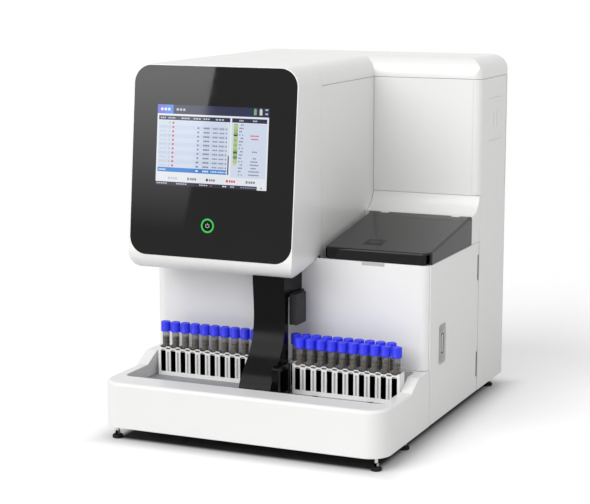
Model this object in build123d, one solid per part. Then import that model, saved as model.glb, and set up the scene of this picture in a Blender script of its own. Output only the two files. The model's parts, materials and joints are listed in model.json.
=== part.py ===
from build123d import *
from math import cos, radians, sin, sqrt, tan
import os

# Urine analyzer with rack bays in front. Millimetres. X is to the right, +Y to the rear, +Z up.
# Every Y below is counted from the front edge of the tray. save() moves the origin to the
# centre of the footprint, on the table.

# Casing
WIDTH = 600.0
DEPTH = 757.0
HEIGHT = 736.0
HALF = WIDTH / 2
FOOT_HEIGHT = 28.0
WALL = 3.0
SEAM = 0.6
TIGHT_SEAM = 0.1
SHEET = 2.0
FACE_Y = 245.0
FACE_RADIUS = 20.0
REAR_RADIUS = 12.0
TRAY_OVERLAP = 10.0
TRAY_BACK_Y = FACE_Y + TRAY_OVERLAP
LOWER_SEAM_Z = 141.0
CABINET_TOP_Z = 353.0
COVER_DROP = 8.0
COVER_TOP_Z = CABINET_TOP_Z - COVER_DROP
CROWN_HEIGHT = 42.0
UPPER_SEAM_Z = HEIGHT - CROWN_HEIGHT
TOP_RADIUS = 38.0
RIB = 2.0
RIB_REACH = 9.0
FLOOR_Z = FOOT_HEIGHT + SHEET
NOTCH_X = 159.0
NOTCH_WIDTH = 48.0
NOTCH_DEPTH = 2.0

# Head and tower
HEAD_RIGHT_X = 60.0
HEAD_BOTTOM_Z = CABINET_TOP_Z - 40.0
HEAD_SEAM_Y = FACE_Y + 30.0
HEAD_LOWER_RADIUS = 45.0
CHIN_RADIUS = 34.0
CHIN_RISE = 16.0
TOWER_DEPTH = 195.0
TOWER_Y = DEPTH - TOWER_DEPTH
TOWER_EDGE_RADIUS = 18.0
COVE_HEIGHT = 96.0
COVE_TOP_Z = CABINET_TOP_Z + COVE_HEIGHT
HEAD_WIDTH = HALF + HEAD_RIGHT_X
HEAD_MID_X = (HEAD_RIGHT_X - HALF) / 2
HEAD_RISE = tan(radians(CHIN_RISE))

# Glass front, leaning back
GLASS_MID_Y = 144.0
GLASS_MID_Z = HEAD_BOTTOM_Z + 227.0
GLASS_LEAN = 5.7
GLASS_SLOPE = tan(radians(GLASS_LEAN))
GLASS_THICK = 4.0
GLASS_MARGIN = 2.5
GLASS_CHIN = 44.0
GLASS_CORNER = 36.0
GLASS_LIP = 8.0
SCREEN_WIDTH = 244.0
SCREEN_HEIGHT = 160.0
SCREEN_X = HEAD_MID_X - 2.0
SCREEN_Z = HEIGHT - 159.0
PANEL_THICK = 8.0
PANEL_EDGE = 6.0
BUTTON_X = HEAD_MID_X - 5.0
BUTTON_Z = HEAD_BOTTOM_Z + 109.0
BUTTON_RADIUS = 10.5
RING_RADIUS = 14.5
BUTTON_TRAVEL = 1.5
BUTTON_EDGE = 0.6
STEM_LENGTH = 6.0
STEM_RADIUS = BUTTON_RADIUS / 3
SWITCH_SIDE = 30.0
SWITCH_DEPTH = 18.0

# Tray
RIM_Z = 120.0
TRAY_CORNER = 42.0
RIM_FRONT = 57.0
RIM_ROUND = 7.0
WING_WIDTH = 24.0
WELL_X = HALF - WING_WIDTH
WELL_BACK_Y = FACE_Y - 5.0
WELL_CORNER = 14.0
DECK_Z = 94.0
DECK_THICK = 3.0
DECK_LEDGE = 6.0
DECK_GAP = 0.2
WING_FOOT_Y = 155.0
WING_TOP_Y = 195.0

# Racks and tubes
PLACES = 10
PITCH = 22.6
RACK_LENGTH = PLACES * PITCH
RACK_DEPTH = 27.0
RACK_HEIGHT = 61.0
RACK_RAIL = 9.0
RACK_BAND = 9.0
RACK_LIFT = 0.3
SLOT_WIDTH = 10.6
SCALLOP_DEPTH = 3.0
SCALLOP_RADIUS = 9.0
POST_GROOVE = 3.6
GROOVE_DEPTH = 1.5
EYE_WIDTH = 9.0
EYE_HEIGHT = 3.6
EYE_DEPTH = 2.0
TUBE_RADIUS = 7.6
TUBE_LENGTH = 103.0
TUBE_SIDES = 16
TUBE_SEAT = 4.0
TUBE_FIT = 0.5
TUBE_TAPER = 3.0
CAP_RADIUS = 10.4
CAP_HEIGHT = 21.0
CAP_TOP_WALL = 4.0
CAP_FIT = 0.3
CAP_EDGE = 1.2
LANE_Y = WELL_BACK_Y - 57.0
INPUT_RACK_Y = LANE_Y - 31.0
INPUT_X = 49.5
LANE_X = INPUT_X - 22.8
OUTPUT_X = -WELL_X + 10.0
LANE_MID_Y = LANE_Y + RACK_DEPTH / 2

# Sampler column
COLUMN_LEFT_X = -38.5
COLUMN_RIGHT_X = 30.0
COLUMN_TOP_Z = HEAD_BOTTOM_Z + 37.0
COLUMN_WALL = 3.0
TUNNEL_Z = 286.0
TUNNEL_FRONT_Y = LANE_Y - 6.0
DIVIDER_FRONT_Y = 92.0
DIVIDER_TOP_Z = 158.0
DIVIDER_FRAME = 10.0
DIVIDER_GAP = 3.5
READER_LOW_Z = 226.0
READER_HIGH_Z = 288.0
READER_WIDTH = 16.0
READER_GAP = 1.0
READER_BACK_Y = LANE_Y + 43.0

# Lid
LID_LEFT_X = 75.0
LID_FRONT_Y = FACE_Y + 2.0
LID_BACK_Y = TOWER_Y - 50.0
LID_FRONT_Z = CABINET_TOP_Z + 23.0
LID_BACK_Z = CABINET_TOP_Z + 60.0
LID_WALL = 3.0
LID_REST = 0.6
LID_EDGE = 5.0
LID_BEAD = 6.0
LID_AXIS_Y = LID_BACK_Y - LID_BEAD
LID_AXIS_Z = LID_BACK_Z - LID_BEAD
KNUCKLE_WIDTH = 18.0
KNUCKLE_INSET = 25.0
KNUCKLE_GAP = 0.3
NOTCH_RADIUS = LID_BEAD + 1.5
HINGE_PIN_RADIUS = 2.0
LID_PIN_REACH = 12.0
PIN_FIT = 0.05

# Side door
DOOR_FRONT_Y = FACE_Y + 11.0
DOOR_BEAD = 5.0
DOOR_HINGE_X = HALF - DOOR_BEAD
DOOR_GROOVE = 0.5
DOOR_FLANGE = 12.0
DOOR_FLANGE_WALL = 2.5
DOOR_RIB_Z = 240.0
TOWER_SIDE_Y = TOWER_Y + DOOR_BEAD + DOOR_GROOVE
HINGE_LOW_Z = 60.0
HINGE_LENGTH = 55.0
HINGE_HIGH_Z = CABINET_TOP_Z - 28.0 - HINGE_LENGTH
PIN_REACH = 9.0
BARREL_GAP = 0.6
LEAF_THICK = 2.5
LEAF_LENGTH = 22.0
HANDLE_Y = DOOR_FRONT_Y + 74.5
HANDLE_Z = 181.0
HANDLE_WIDTH = 45.0
HANDLE_HEIGHT = 84.0
HANDLE_DEPTH = 16.0
HANDLE_WALL = 2.0
HANDLE_CORNER = 9.0
HANDLE_FIT = 0.2
GRIP_LENGTH = 46.0
GRIP_FRONT = 4.0
GRIP_BACK = 11.0
GRIP_THICK = 3.5
GRIP_SINK = 1.5
MAGNET_Z = 290.0
MAGNET_HEIGHT = 24.0

# Waste bin behind the door
BIN_LENGTH = 158.0
BIN_X = HALF - 22.0 - BIN_LENGTH
BIN_Y = FACE_Y + 55.0
BIN_WIDTH = 120.0
BIN_Z = 62.0
BIN_HEIGHT = 134.0
BIN_WALL = 2.5
BIN_CORNER = 8.0
BIN_GAP = 0.3
RUNNER_LIP = 12.0
RUNNER_RISE = 20.0

# Feet
PAD_RADIUS = 11.0
PAD_HEIGHT = 15.0
PAD_EDGE = 2.0
STUD_RADIUS = 3.5
STUD_ABOVE = 12.0
BOSS_RADIUS = 8.0
BOSS_HEIGHT = 6.0
FOOT_INSET_X = 24.0
FOOT_FRONT_Y = 27.0
FOOT_MIDDLE_Y = 178.0
FOOT_REAR_Y = DEPTH - 35.0

# Pushers and lane
FINGER_WIDTH = 10.0
FINGER_DEPTH = 8.0
FINGER_GAP = 0.3
SLOT_GAP = 1.0
RACK_NOTCHES = (50.0, 166.0)
INPUT_FINGERS = (INPUT_X + RACK_NOTCHES[0], INPUT_X + RACK_NOTCHES[1])
SWEEP_RODS = (OUTPUT_X + RACK_NOTCHES[0], OUTPUT_X + RACK_NOTCHES[1])
SWEEP_ROD = 4.0
SWEEP_DEPTH = 6.0
SWEEP_LOW = 6.0
SWEEP_HEIGHT = 16.0
SWEEP_GUIDE_Y = FACE_Y + 55.0
SWEEP_LENGTH = 210.0
HOLE_GAP = 0.5
INPUT_BACK = 66.0
INPUT_FORTH = 3.0
LANE_TRAVEL = 60.0
CROSSHEAD_DEPTH = 12.0
CROSSHEAD_HEIGHT = 12.0
CROSSHEAD_END = 20.0
CROSSHEAD_Z = DECK_Z - DECK_THICK - WALL - 2 - CROSSHEAD_HEIGHT
BRACKET = 5.0
ROD_RADIUS = 3.0
ROD_OFFSET = 14.0
DOG_X = LANE_X + 8.0
DOG_LENGTH = 14.0
DOG_HALF = 3.0
DOG_RISE = 3.0
RAIL_HALF = 5.0
RAIL_DEPTH = 12.0
CARRIAGE_END = 10.0
INPUT_FINGER_Y = INPUT_RACK_Y + (RACK_DEPTH - FINGER_DEPTH) / 2
INPUT_BAR_Y = INPUT_FINGER_Y - 2.0
SWEEP_Y = LANE_Y + RACK_DEPTH + FINGER_GAP
SWEEP_Z = DECK_Z + SWEEP_LOW + SWEEP_HEIGHT / 2

# Sampling arm
ARM_Z = HEAD_BOTTOM_Z + 59.0
ARM_ROD_RADIUS = 4.0
ARM_ROD_X = (-60.0, -40.0)
NEEDLE_X = -1.5
NEEDLE_Y = LANE_MID_Y
NEEDLE_RADIUS = 1.2
SLEEVE_RADIUS = 3.0
NEEDLE_LOW_Z = 250.0
GATE_FRONT = 32.0
GATE_BACK = 30.0
SLEEVE_BELOW = 20.0
SLEEVE_ABOVE = 70.0
COLLAR_HEIGHT = 8.0

# Strip feeder under the lid
HOPPER_X = 120.0
HOPPER_LENGTH = 130.0
HOPPER_Y = FACE_Y + 75.0
HOPPER_WIDTH = 120.0
HOPPER_DEPTH = 80.0
HOPPER_WALL = 2.5
HOPPER_GAP = 0.3
HOPPER_LIP = 5.0
HOPPER_TOP = COVER_TOP_Z + 2
DRUM_RADIUS = 26.0
DRUM_SHAFT = 4.0
DRUM_END = 4.0
DRUM_CLEAR = 1.5
DRUM_GROOVES = 6
GROOVE_HALF = 3.0
CHEEK = 4.0
CHEEK_HALF = 34.0
THROAT = 2 * DRUM_RADIUS - 8

# Inside the casing
SHELF_Z = COVER_TOP_Z + 6
SHELF_TOP = SHELF_Z + SHEET
POST = 14.0
BEARING = 7.0
OPTICS_PLACE = (-40.0, HEAD_SEAM_Y + 125.0)
OPTICS_SIZE = (80.0, 100.0, 62.0)
OPTICS_NOSE = (40.0, 20.0, 30.0)
PUMP_PLACE = (150.0, TOWER_Y - 92.0)
PUMP_SIZE = (80.0, 60.0, 70.0)
PUMP_HEAD = 26.0
SUPPLY_PLACE = (-HALF + 70.0, DEPTH - 197.0)
SUPPLY_SIZE = (170.0, 140.0, 50.0)
SUPPLY_LID = 4.0
BOARD_PLACE = (-HALF + 64.0, DEPTH - 337.0)
BOARD_SIZE = (170.0, 240.0, 1.6)
STANDOFF = 8.0
STANDOFF_SIDE = 6.0
CHIP_SIZE = (40.0, 40.0, 12.4)

# Rear and side of the casing
FAN_X = 150.0
FAN_Z = HEIGHT - 176.0
FAN_BORE = 43.0
FAN_SIZE = 92.0
FAN_DEPTH = 25.0
FAN_PIN = 2.0
FAN_HUB = 15.0
FAN_BLADES = 7
GUARD_WIRE = 2.0
GUARD_SIDES = 24
VENT_WIDTH = 110.0
VENT_HEIGHT = 5.0
VENT_PITCH = 14.0
VENT_ROWS = 9
VENT_X = (-180.0, -50.0)
VENT_LOW_Z = HEIGHT - 216.0
INLET_X = -HALF + 80.0
INLET_Z = 100.0
INLET_WIDTH = 28.0
INLET_HEIGHT = 48.0
INLET_DEPTH = 24.0
INLET_FLANGE = 7.0
PORT_Y = DEPTH - 96.0
PORT_Z = HEIGHT - 131.0
PORT_WIDTH = 92.0
PORT_HEIGHT = 90.0
PORT_CORNER = 6.0
MARK_HEIGHT = 36.0
MARK_WIDTH = 3.0
MARK_DEPTH = 1.2


def save(name, *solids):
    """Write one named piece, with the origin moved to the middle of the footprint."""
    moved = [Pos(0, -DEPTH / 2, 0) * solid for solid in solids]
    shape = moved[0] if len(moved) == 1 else Compound(children=moved)
    export_step(shape, f"parts/{name}.step")


def block(x0, x1, y0, y1, z0, z1):
    """Box between two corners."""
    size = Box(x1 - x0, y1 - y0, z1 - z0)
    return Pos((x0 + x1) / 2, (y0 + y1) / 2, (z0 + z1) / 2) * size


def rounded(x0, x1, y0, y1, radius, z0, z1):
    """Upright block with rounded vertical corners."""
    face = RectangleRounded(x1 - x0, y1 - y0, radius)
    return Pos((x0 + x1) / 2, (y0 + y1) / 2, z0) * extrude(face, z1 - z0)


def side_prism(points, x0, x1):
    """Closed side outline of (y, z) points, carried from x0 to x1."""
    face = Plane.YZ * make_face(Polyline(*points, close=True))
    return Pos(x0, 0, 0) * extrude(face, x1 - x0)


def x_rod(radius, x0, x1, y, z):
    """Round bar along X."""
    return Pos((x0 + x1) / 2, y, z) * Rot(0, 90, 0) * Cylinder(radius, x1 - x0)


def y_rod(radius, x, y0, y1, z):
    """Round bar along Y."""
    return Pos(x, (y0 + y1) / 2, z) * Rot(90, 0, 0) * Cylinder(radius, y1 - y0)


def z_rod(radius, x, y, z0, z1):
    """Upright round bar."""
    return Pos(x, y, (z0 + z1) / 2) * Cylinder(radius, z1 - z0)


def glass_y(z):
    """Front of the leaning glass at a height."""
    return GLASS_MID_Y + (z - GLASS_MID_Z) * GLASS_SLOPE


def head_under_z(y):
    """Underside of the head at a distance from the tray's front."""
    return HEAD_BOTTOM_Z + (y - glass_y(HEAD_BOTTOM_Z)) * HEAD_RISE


def glass_plane(x, z):
    """Plane lying on the glass, its normal pointing out to the user."""
    normal = (0, -cos(radians(GLASS_LEAN)), sin(radians(GLASS_LEAN)))
    return Plane(origin=(x, glass_y(z), z), x_dir=(1, 0, 0), z_dir=normal)


# Casing -----------------------------------------------------------------------------------

def head_section(inset, y0, y1):
    """Front outline of the head, carried rearward, each side moved in by an inset."""
    low = HEAD_BOTTOM_Z + inset
    high = HEIGHT - inset
    face = RectangleRounded(HEAD_WIDTH - 2 * inset, high - low, HEAD_LOWER_RADIUS - inset)
    lower = Pos(HEAD_MID_X, 0, (low + high) / 2) * Rot(90, 0, 0) * extrude(face, -(y1 - y0))
    crown_face = RectangleRounded(HEAD_WIDTH - 2 * inset, high - low, TOP_RADIUS - inset)
    crown = Pos(HEAD_MID_X, 0, (low + high) / 2) * Rot(90, 0, 0) * extrude(crown_face, -(y1 - y0))
    middle = (low + high) / 2
    upper_half = block(-HALF, HEAD_RIGHT_X, 0, y1 - y0, middle, HEIGHT)
    return Pos(0, y0, 0) * ((lower - upper_half) + (crown & upper_half))


def head_profile(inset):
    """Side outline of the head shell: leaning front, round chin and rising underside."""
    low = HEAD_BOTTOM_Z + inset
    high = HEIGHT - inset
    chin_y = glass_y(low) + inset
    back_z = low + (HEAD_SEAM_Y - chin_y) * HEAD_RISE
    points = [(glass_y(high) + inset, high), (chin_y, low), (HEAD_SEAM_Y, back_z), (HEAD_SEAM_Y, high)]
    outline = side_prism(points, -HALF, HEAD_RIGHT_X)
    chin = outline.edges().filter_by(Axis.X).sort_by(Axis.Z)[0]
    return fillet(chin, CHIN_RADIUS - inset)


def glass_outline(x_inset, thickness):
    """Plate in the plane of the glass front, reaching inward by a thickness."""
    low = HEAD_BOTTOM_Z + GLASS_CHIN
    high = HEIGHT - GLASS_MARGIN
    middle = (low + high) / 2
    length = (high - low) / cos(radians(GLASS_LEAN)) - 2 * x_inset
    width = HEAD_WIDTH - 2 * (GLASS_MARGIN + x_inset)
    face = RectangleRounded(width, length, GLASS_CORNER - x_inset)
    return glass_plane(HEAD_MID_X, middle) * extrude(face, -thickness)


def head_front_shell():
    """White shell round the glass, open at the rear."""
    outer = head_section(0, 60, HEAD_SEAM_Y) & head_profile(0)
    inner = head_section(WALL, 60, HEAD_SEAM_Y + 1) & head_profile(WALL)
    shell = outer - inner
    # The glass sits flush in a stepped frame, with a lip behind it.
    shell -= glass_outline(-SEAM / 2, 10 * WALL)
    lip = glass_outline(-SEAM / 2 - 1, GLASS_THICK + 2 * WALL) - glass_outline(-SEAM / 2, GLASS_THICK)
    lip -= glass_outline(GLASS_LIP, GLASS_THICK + 3 * WALL)
    needle_gate = block(
        COLUMN_LEFT_X + 2 * WALL, COLUMN_RIGHT_X - 2 * WALL, NEEDLE_Y - GATE_FRONT, NEEDLE_Y + GATE_BACK,
        0, HEAD_BOTTOM_Z + 60,
    )
    return shell + (lip & outer) - needle_gate


def display_glass():
    """One sheet of black glass with a hole for the power button."""
    glass = glass_outline(0, GLASS_THICK)
    hole = glass_plane(BUTTON_X, BUTTON_Z) * Cylinder(RING_RADIUS, 4 * GLASS_THICK)
    return glass - hole


def power_ring():
    ring = Cylinder(RING_RADIUS - SEAM / 2, GLASS_THICK) - Cylinder(BUTTON_RADIUS + SEAM / 2, 2 * GLASS_THICK)
    return glass_plane(BUTTON_X, BUTTON_Z) * Pos(0, 0, -GLASS_THICK / 2) * ring


def power_button():
    """Round button with a stem behind it."""
    head = Pos(0, 0, -GLASS_THICK / 2) * Cylinder(BUTTON_RADIUS, GLASS_THICK)
    head = chamfer(head.edges().sort_by(Axis.Z)[-1], BUTTON_EDGE)
    stem = Pos(0, 0, -GLASS_THICK - STEM_LENGTH / 2) * Cylinder(STEM_RADIUS, STEM_LENGTH)
    return glass_plane(BUTTON_X, BUTTON_Z) * (head + stem)


def button_switch():
    """Switch housing behind the button, with a bore for its stem."""
    collar = 4.0
    body = Pos(0, 0, -GLASS_THICK - collar - SWITCH_DEPTH / 2) * Box(SWITCH_SIDE, SWITCH_SIDE, SWITCH_DEPTH)
    ears = Pos(0, 0, -GLASS_THICK - collar / 2) * Box(SWITCH_SIDE + collar, SWITCH_SIDE + collar, collar)
    ears -= Pos(0, 0, -GLASS_THICK - collar / 2) * Cylinder(BUTTON_RADIUS + 1, 2 * collar)
    bore_depth = 2 * (STEM_LENGTH + 2 * BUTTON_TRAVEL)
    bore = Pos(0, 0, -GLASS_THICK) * Cylinder(STEM_RADIUS + 0.5, bore_depth)
    return glass_plane(BUTTON_X, BUTTON_Z) * (body + ears - bore)


def display_module():
    """Screen panel and its metal back, behind the glass."""
    width = SCREEN_WIDTH + 2 * PANEL_EDGE
    height = SCREEN_HEIGHT + 2 * PANEL_EDGE
    panel = Pos(0, 0, -GLASS_THICK - PANEL_THICK / 2) * Box(width, height, PANEL_THICK)
    back = Pos(0, 0, -GLASS_THICK - 1.25 * PANEL_THICK) * Box(width - 40, height - 40, PANEL_THICK)
    return glass_plane(SCREEN_X, SCREEN_Z) * (panel + back)


def cover_envelope(inset, low):
    """Rounded top of the casing: the head's block joined with the rear tower."""
    high = HEIGHT - inset
    radius = TOP_RADIUS - inset
    back = DEPTH - inset

    def arch(x0, x1, y0, y1):
        middle = (x0 + x1) / 2
        face = RectangleRounded(x1 - x0, 4 * radius, radius)
        return Pos(middle, y1, high - 2 * radius) * Rot(90, 0, 0) * extrude(face, y1 - y0)

    head = arch(-HALF + inset, HEAD_RIGHT_X - inset, HEAD_SEAM_Y, back)
    tower = arch(-HALF + inset, HALF - inset, TOWER_Y + inset, back)
    front = RectangleRounded(2 * (back - TOWER_Y - inset), 4 * radius, radius)
    slope = Plane.YZ * extrude(front, WIDTH)
    slope = Pos(-HALF, TOWER_Y + inset + (back - TOWER_Y - inset), high - 2 * radius) * slope
    corner = rounded(
        -HALF + inset, HALF - inset, TOWER_Y + inset, 2 * DEPTH, TOWER_EDGE_RADIUS - inset, low, HEIGHT,
    )
    rear = rounded(-HALF + inset, HALF - inset, -DEPTH, back, REAR_RADIUS - inset, low, HEIGHT)
    return (head + (tower & slope & corner)) & rear


def top_cover():
    """One moulded cover over head and tower, meeting the front shell at its seam."""
    low = UPPER_SEAM_Z + SEAM / 2
    outer = cover_envelope(0, low)
    inner = cover_envelope(WALL, low)
    front = block(-HALF, HALF, 0, HEAD_SEAM_Y + SEAM, low - 1, HEIGHT + 1)
    return outer - inner - front


def front_panel():
    """Cabinet front with rounded corners, lower under the head, with a finger recess at the lid."""
    outer = rounded(-HALF, HALF, FACE_Y, DEPTH, FACE_RADIUS, LOWER_SEAM_Z + SEAM, CABINET_TOP_Z - SEAM)
    inner = rounded(
        -HALF + WALL, HALF - WALL, FACE_Y + WALL, DEPTH - WALL, FACE_RADIUS - WALL,
        LOWER_SEAM_Z, CABINET_TOP_Z,
    )
    keep = block(-HALF, HALF, FACE_Y, DOOR_FRONT_Y - SEAM, LOWER_SEAM_Z, CABINET_TOP_Z)
    left_back = block(-HALF, -HALF + 40, FACE_Y, DOOR_FRONT_Y - SEAM, LOWER_SEAM_Z, CABINET_TOP_Z)
    panel = (outer - inner) & (keep + left_back)
    under_head = block(-HALF - 1, HEAD_RIGHT_X + SEAM, 0, DEPTH, head_under_z(FACE_Y) - SEAM, HEIGHT)
    notch = block(NOTCH_X, NOTCH_X + NOTCH_WIDTH, FACE_Y - 1, FACE_Y + NOTCH_DEPTH, COVER_TOP_Z, CABINET_TOP_Z)
    fold_z = COVER_TOP_Z - SHEET
    fold_y = FACE_Y + WALL
    fold = block(HEAD_RIGHT_X + WALL + 1, HALF - FACE_RADIUS, fold_y, fold_y + WALL + 4, fold_z - WALL, fold_z)
    return panel - under_head - notch + fold


def left_side_panel():
    low = FOOT_HEIGHT
    high = UPPER_SEAM_Z - SEAM / 2
    panel = block(-HALF, -HALF + WALL, TRAY_BACK_Y + SEAM, DEPTH - REAR_RADIUS, low, high)
    panel -= block(-HALF - 1, 0, 0, HEAD_SEAM_Y + SEAM, head_under_z(TRAY_BACK_Y) - SEAM, HEIGHT)
    rib_z = high - POST
    rib = block(-HALF + WALL, -HALF + WALL + RIB_REACH, HEAD_SEAM_Y + 20, DEPTH - 40, rib_z, rib_z + RIB)
    return panel + rib + Pos(0, 0, SHELF_Z - high) * rib


def right_side_panel():
    """Tower side with its rounded front edge above the lid and a straight edge behind the door."""
    low = FOOT_HEIGHT
    high = UPPER_SEAM_Z - SEAM / 2
    ring = rounded(HEAD_RIGHT_X, HALF, TOWER_Y, DEPTH, TOWER_EDGE_RADIUS, COVE_TOP_Z + SEAM, high)
    ring -= rounded(
        HEAD_RIGHT_X + WALL, HALF - WALL, TOWER_Y + WALL, DEPTH - WALL, TOWER_EDGE_RADIUS - WALL,
        COVE_TOP_Z, high + 1,
    )
    edge = ring & block(HALF - TOWER_EDGE_RADIUS, HALF, TOWER_Y, DEPTH - REAR_RADIUS, 0, high)
    flat = block(HALF - WALL, HALF, TOWER_SIDE_Y, DEPTH - REAR_RADIUS, low, COVE_TOP_Z + SEAM)
    rib_z = high - POST
    rib = block(HALF - WALL - RIB_REACH, HALF - WALL, TOWER_SIDE_Y + 26, DEPTH - 40, rib_z, rib_z + RIB)
    panel = edge + flat + rib
    return panel - port_hole(SEAM / 2, WALL + 2)


def port_hole(gap, depth):
    """Square opening in the tower side."""
    outline = RectangleRounded(PORT_WIDTH + 2 * gap, PORT_HEIGHT + 2 * gap, PORT_CORNER)
    return Pos(HALF - depth, PORT_Y, PORT_Z) * (Plane.YZ * extrude(outline, 2 * depth))


def side_port_cover():
    """Square flush cover with two pull marks."""
    cover = port_hole(0, WALL) & block(HALF - WALL, HALF, 0, DEPTH, 0, HEIGHT)
    reach = PORT_WIDTH / 2 - 4
    catch = block(HALF - 2 * WALL, HALF - WALL, PORT_Y - reach, PORT_Y + reach, PORT_Z - WALL, PORT_Z + WALL)
    for y in (PORT_Y - PORT_WIDTH / 8, PORT_Y + PORT_WIDTH / 8):
        low = PORT_Z - MARK_HEIGHT / 2
        cover -= block(HALF - MARK_DEPTH, HALF + 1, y, y + MARK_WIDTH, low, low + MARK_HEIGHT)
    return cover + catch


def rear_panel():
    """Bent steel back with rounded vertical corners, cooling slots, fan and inlet openings."""
    low = FOOT_HEIGHT
    high = UPPER_SEAM_Z - SEAM / 2
    outer = rounded(-HALF, HALF, FACE_Y, DEPTH, REAR_RADIUS, low, high)
    inner = rounded(
        -HALF + SHEET, HALF - SHEET, FACE_Y, DEPTH - SHEET, REAR_RADIUS - SHEET, low - 1, high + 1,
    )
    panel = (outer - inner) & block(-HALF, HALF, DEPTH - REAR_RADIUS + SEAM, DEPTH, low, high)
    y = DEPTH - SHEET / 2
    for x in VENT_X:
        for row in range(VENT_ROWS):
            panel -= Pos(x, y, VENT_LOW_Z + VENT_PITCH * row) * Box(VENT_WIDTH, 10, VENT_HEIGHT)
    panel -= Pos(FAN_X, y, FAN_Z) * Rot(90, 0, 0) * Cylinder(FAN_BORE, 20)
    return panel - Pos(INLET_X, y, INLET_Z) * Box(INLET_WIDTH, 20, INLET_HEIGHT)


def guard_ring(radius):
    """One wire ring of the finger guard."""
    outer = extrude(RegularPolygon(radius + GUARD_WIRE / 2, GUARD_SIDES), GUARD_WIRE)
    return outer - extrude(RegularPolygon(radius - GUARD_WIRE / 2, GUARD_SIDES), 2 * GUARD_WIRE)


def fan_place():
    middle = DEPTH - SHEET - FAN_DEPTH / 2
    return Pos(FAN_X, middle, FAN_Z) * Rot(-90, 0, 0)


def fan_housing():
    """Square fan frame with a hub pin, and a wire guard on four arms."""
    frame = Box(FAN_SIZE, FAN_SIZE, FAN_DEPTH) - Cylinder(FAN_BORE, FAN_DEPTH + 2)
    frame = fillet(frame.edges().filter_by(Axis.Z).group_by(SortBy.DISTANCE)[-1], FAN_DEPTH / 6)
    guard_z = FAN_DEPTH / 2 - GUARD_WIRE
    for share in (0.4, 0.65, 0.9):
        frame += Pos(0, 0, guard_z) * guard_ring(share * FAN_BORE)
    arm = Box(2 * FAN_BORE + WALL, GUARD_WIRE, GUARD_WIRE)
    cross = arm + Rot(0, 0, 90) * arm + Cylinder(FAN_HUB * 0.6, GUARD_WIRE)
    frame += Pos(0, 0, guard_z + GUARD_WIRE / 2) * cross
    return fan_place() * (frame + Pos(0, 0, GUARD_WIRE) * Cylinder(FAN_PIN, FAN_DEPTH - 3 * GUARD_WIRE))


def fan_rotor():
    """Hub with pitched blades on the housing's pin."""
    depth = FAN_DEPTH - 9
    length = FAN_BORE - FAN_HUB
    blade = Pos(FAN_HUB + length / 2 - 2, 0, 0) * Rot(35, 0, 0) * Box(length, GUARD_WIRE, depth)
    rotor = Cylinder(FAN_HUB, depth)
    for index in range(FAN_BLADES):
        rotor += Rot(0, 0, index * 360 / FAN_BLADES) * blade
    rotor &= Cylinder(FAN_BORE - 3, depth)
    return fan_place() * Pos(0, 0, -1) * (rotor - Cylinder(FAN_PIN + PIN_FIT, FAN_DEPTH))


def power_inlet():
    """Three-pin mains socket with a flange inside the back."""
    gap = DECK_GAP
    middle = -INLET_DEPTH / 2
    body = Pos(0, middle, 0) * Box(INLET_WIDTH - 2 * gap, INLET_DEPTH, INLET_HEIGHT - 2 * gap)
    body += Pos(0, -1.5 * SHEET, 0) * Box(INLET_WIDTH + 2 * INLET_FLANGE, SHEET, INLET_HEIGHT + 2 * INLET_FLANGE)
    body -= Pos(0, middle / 2, 4) * Box(INLET_WIDTH - 6, 14, INLET_HEIGHT - 20)
    for x, z in ((0, 11), (-6, 3), (6, 3)):
        body += Pos(x, -8.5, z) * Box(1.6, 10, 4)
    return Pos(INLET_X, DEPTH, INLET_Z) * body


# Tray and racks ---------------------------------------------------------------------------

def tray_plan(inset, low, high):
    """Tray footprint: round front corners and square rear ones."""
    radius = TRAY_CORNER - inset
    body = rounded(-HALF + inset, HALF - inset, inset, 2 * TRAY_BACK_Y, radius, low, high)
    return body & block(-HALF, HALF, 0, TRAY_BACK_Y, low, high)


def tray_moulding():
    """White tray: low rim in front, a wing each side rising to the cabinet seam, and an open well."""
    wing = [
        (0, FOOT_HEIGHT), (0, RIM_Z), (WING_FOOT_Y, RIM_Z), (WING_TOP_Y, LOWER_SEAM_Z),
        (TRAY_BACK_Y, LOWER_SEAM_Z), (TRAY_BACK_Y, FOOT_HEIGHT),
    ]
    outer = tray_plan(0, FOOT_HEIGHT, LOWER_SEAM_Z) & side_prism(wing, -HALF, HALF)
    front = outer.edges().filter_by_position(Axis.Z, RIM_Z, RIM_Z).sort_by(Axis.Y)[0:3]
    outer = fillet(front, RIM_ROUND)
    under = tray_plan(WALL, FOOT_HEIGHT - 1, DECK_Z - DECK_THICK - WALL)
    around = tray_plan(WALL, FOOT_HEIGHT - 1, RIM_Z - WALL)
    around -= rounded(
        -WELL_X - WALL, WELL_X + WALL, RIM_FRONT - WALL, WELL_BACK_Y + WALL, WELL_CORNER + WALL, 0, HEIGHT,
    )
    under += around
    under &= block(-HALF, HALF, 0, TRAY_BACK_Y - WALL, 0, HEIGHT)
    well = rounded(-WELL_X, WELL_X, RIM_FRONT, WELL_BACK_Y, WELL_CORNER, DECK_Z - DECK_THICK, HEIGHT)
    drop = rounded(
        -WELL_X + DECK_LEDGE, WELL_X - DECK_LEDGE, RIM_FRONT + DECK_LEDGE, WELL_BACK_Y - DECK_LEDGE,
        WELL_CORNER, FOOT_HEIGHT, HEIGHT,
    )
    tray = outer - under - well - drop
    clear_x = WELL_X - TRAY_OVERLAP
    skirt = block(-clear_x, clear_x, TRAY_BACK_Y - WALL, TRAY_BACK_Y, FOOT_HEIGHT, CROSSHEAD_Z + WALL)
    sill = block(-HALF + WALL, HALF - WALL, TRAY_BACK_Y - WALL, TRAY_BACK_Y, FOOT_HEIGHT, FLOOR_Z)
    tray -= skirt + sill
    for x in SWEEP_RODS:
        tray -= y_rod(SWEEP_ROD + HOLE_GAP, x, WELL_BACK_Y - 1, TRAY_BACK_Y + 1, SWEEP_Z)
    return tray


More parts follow.
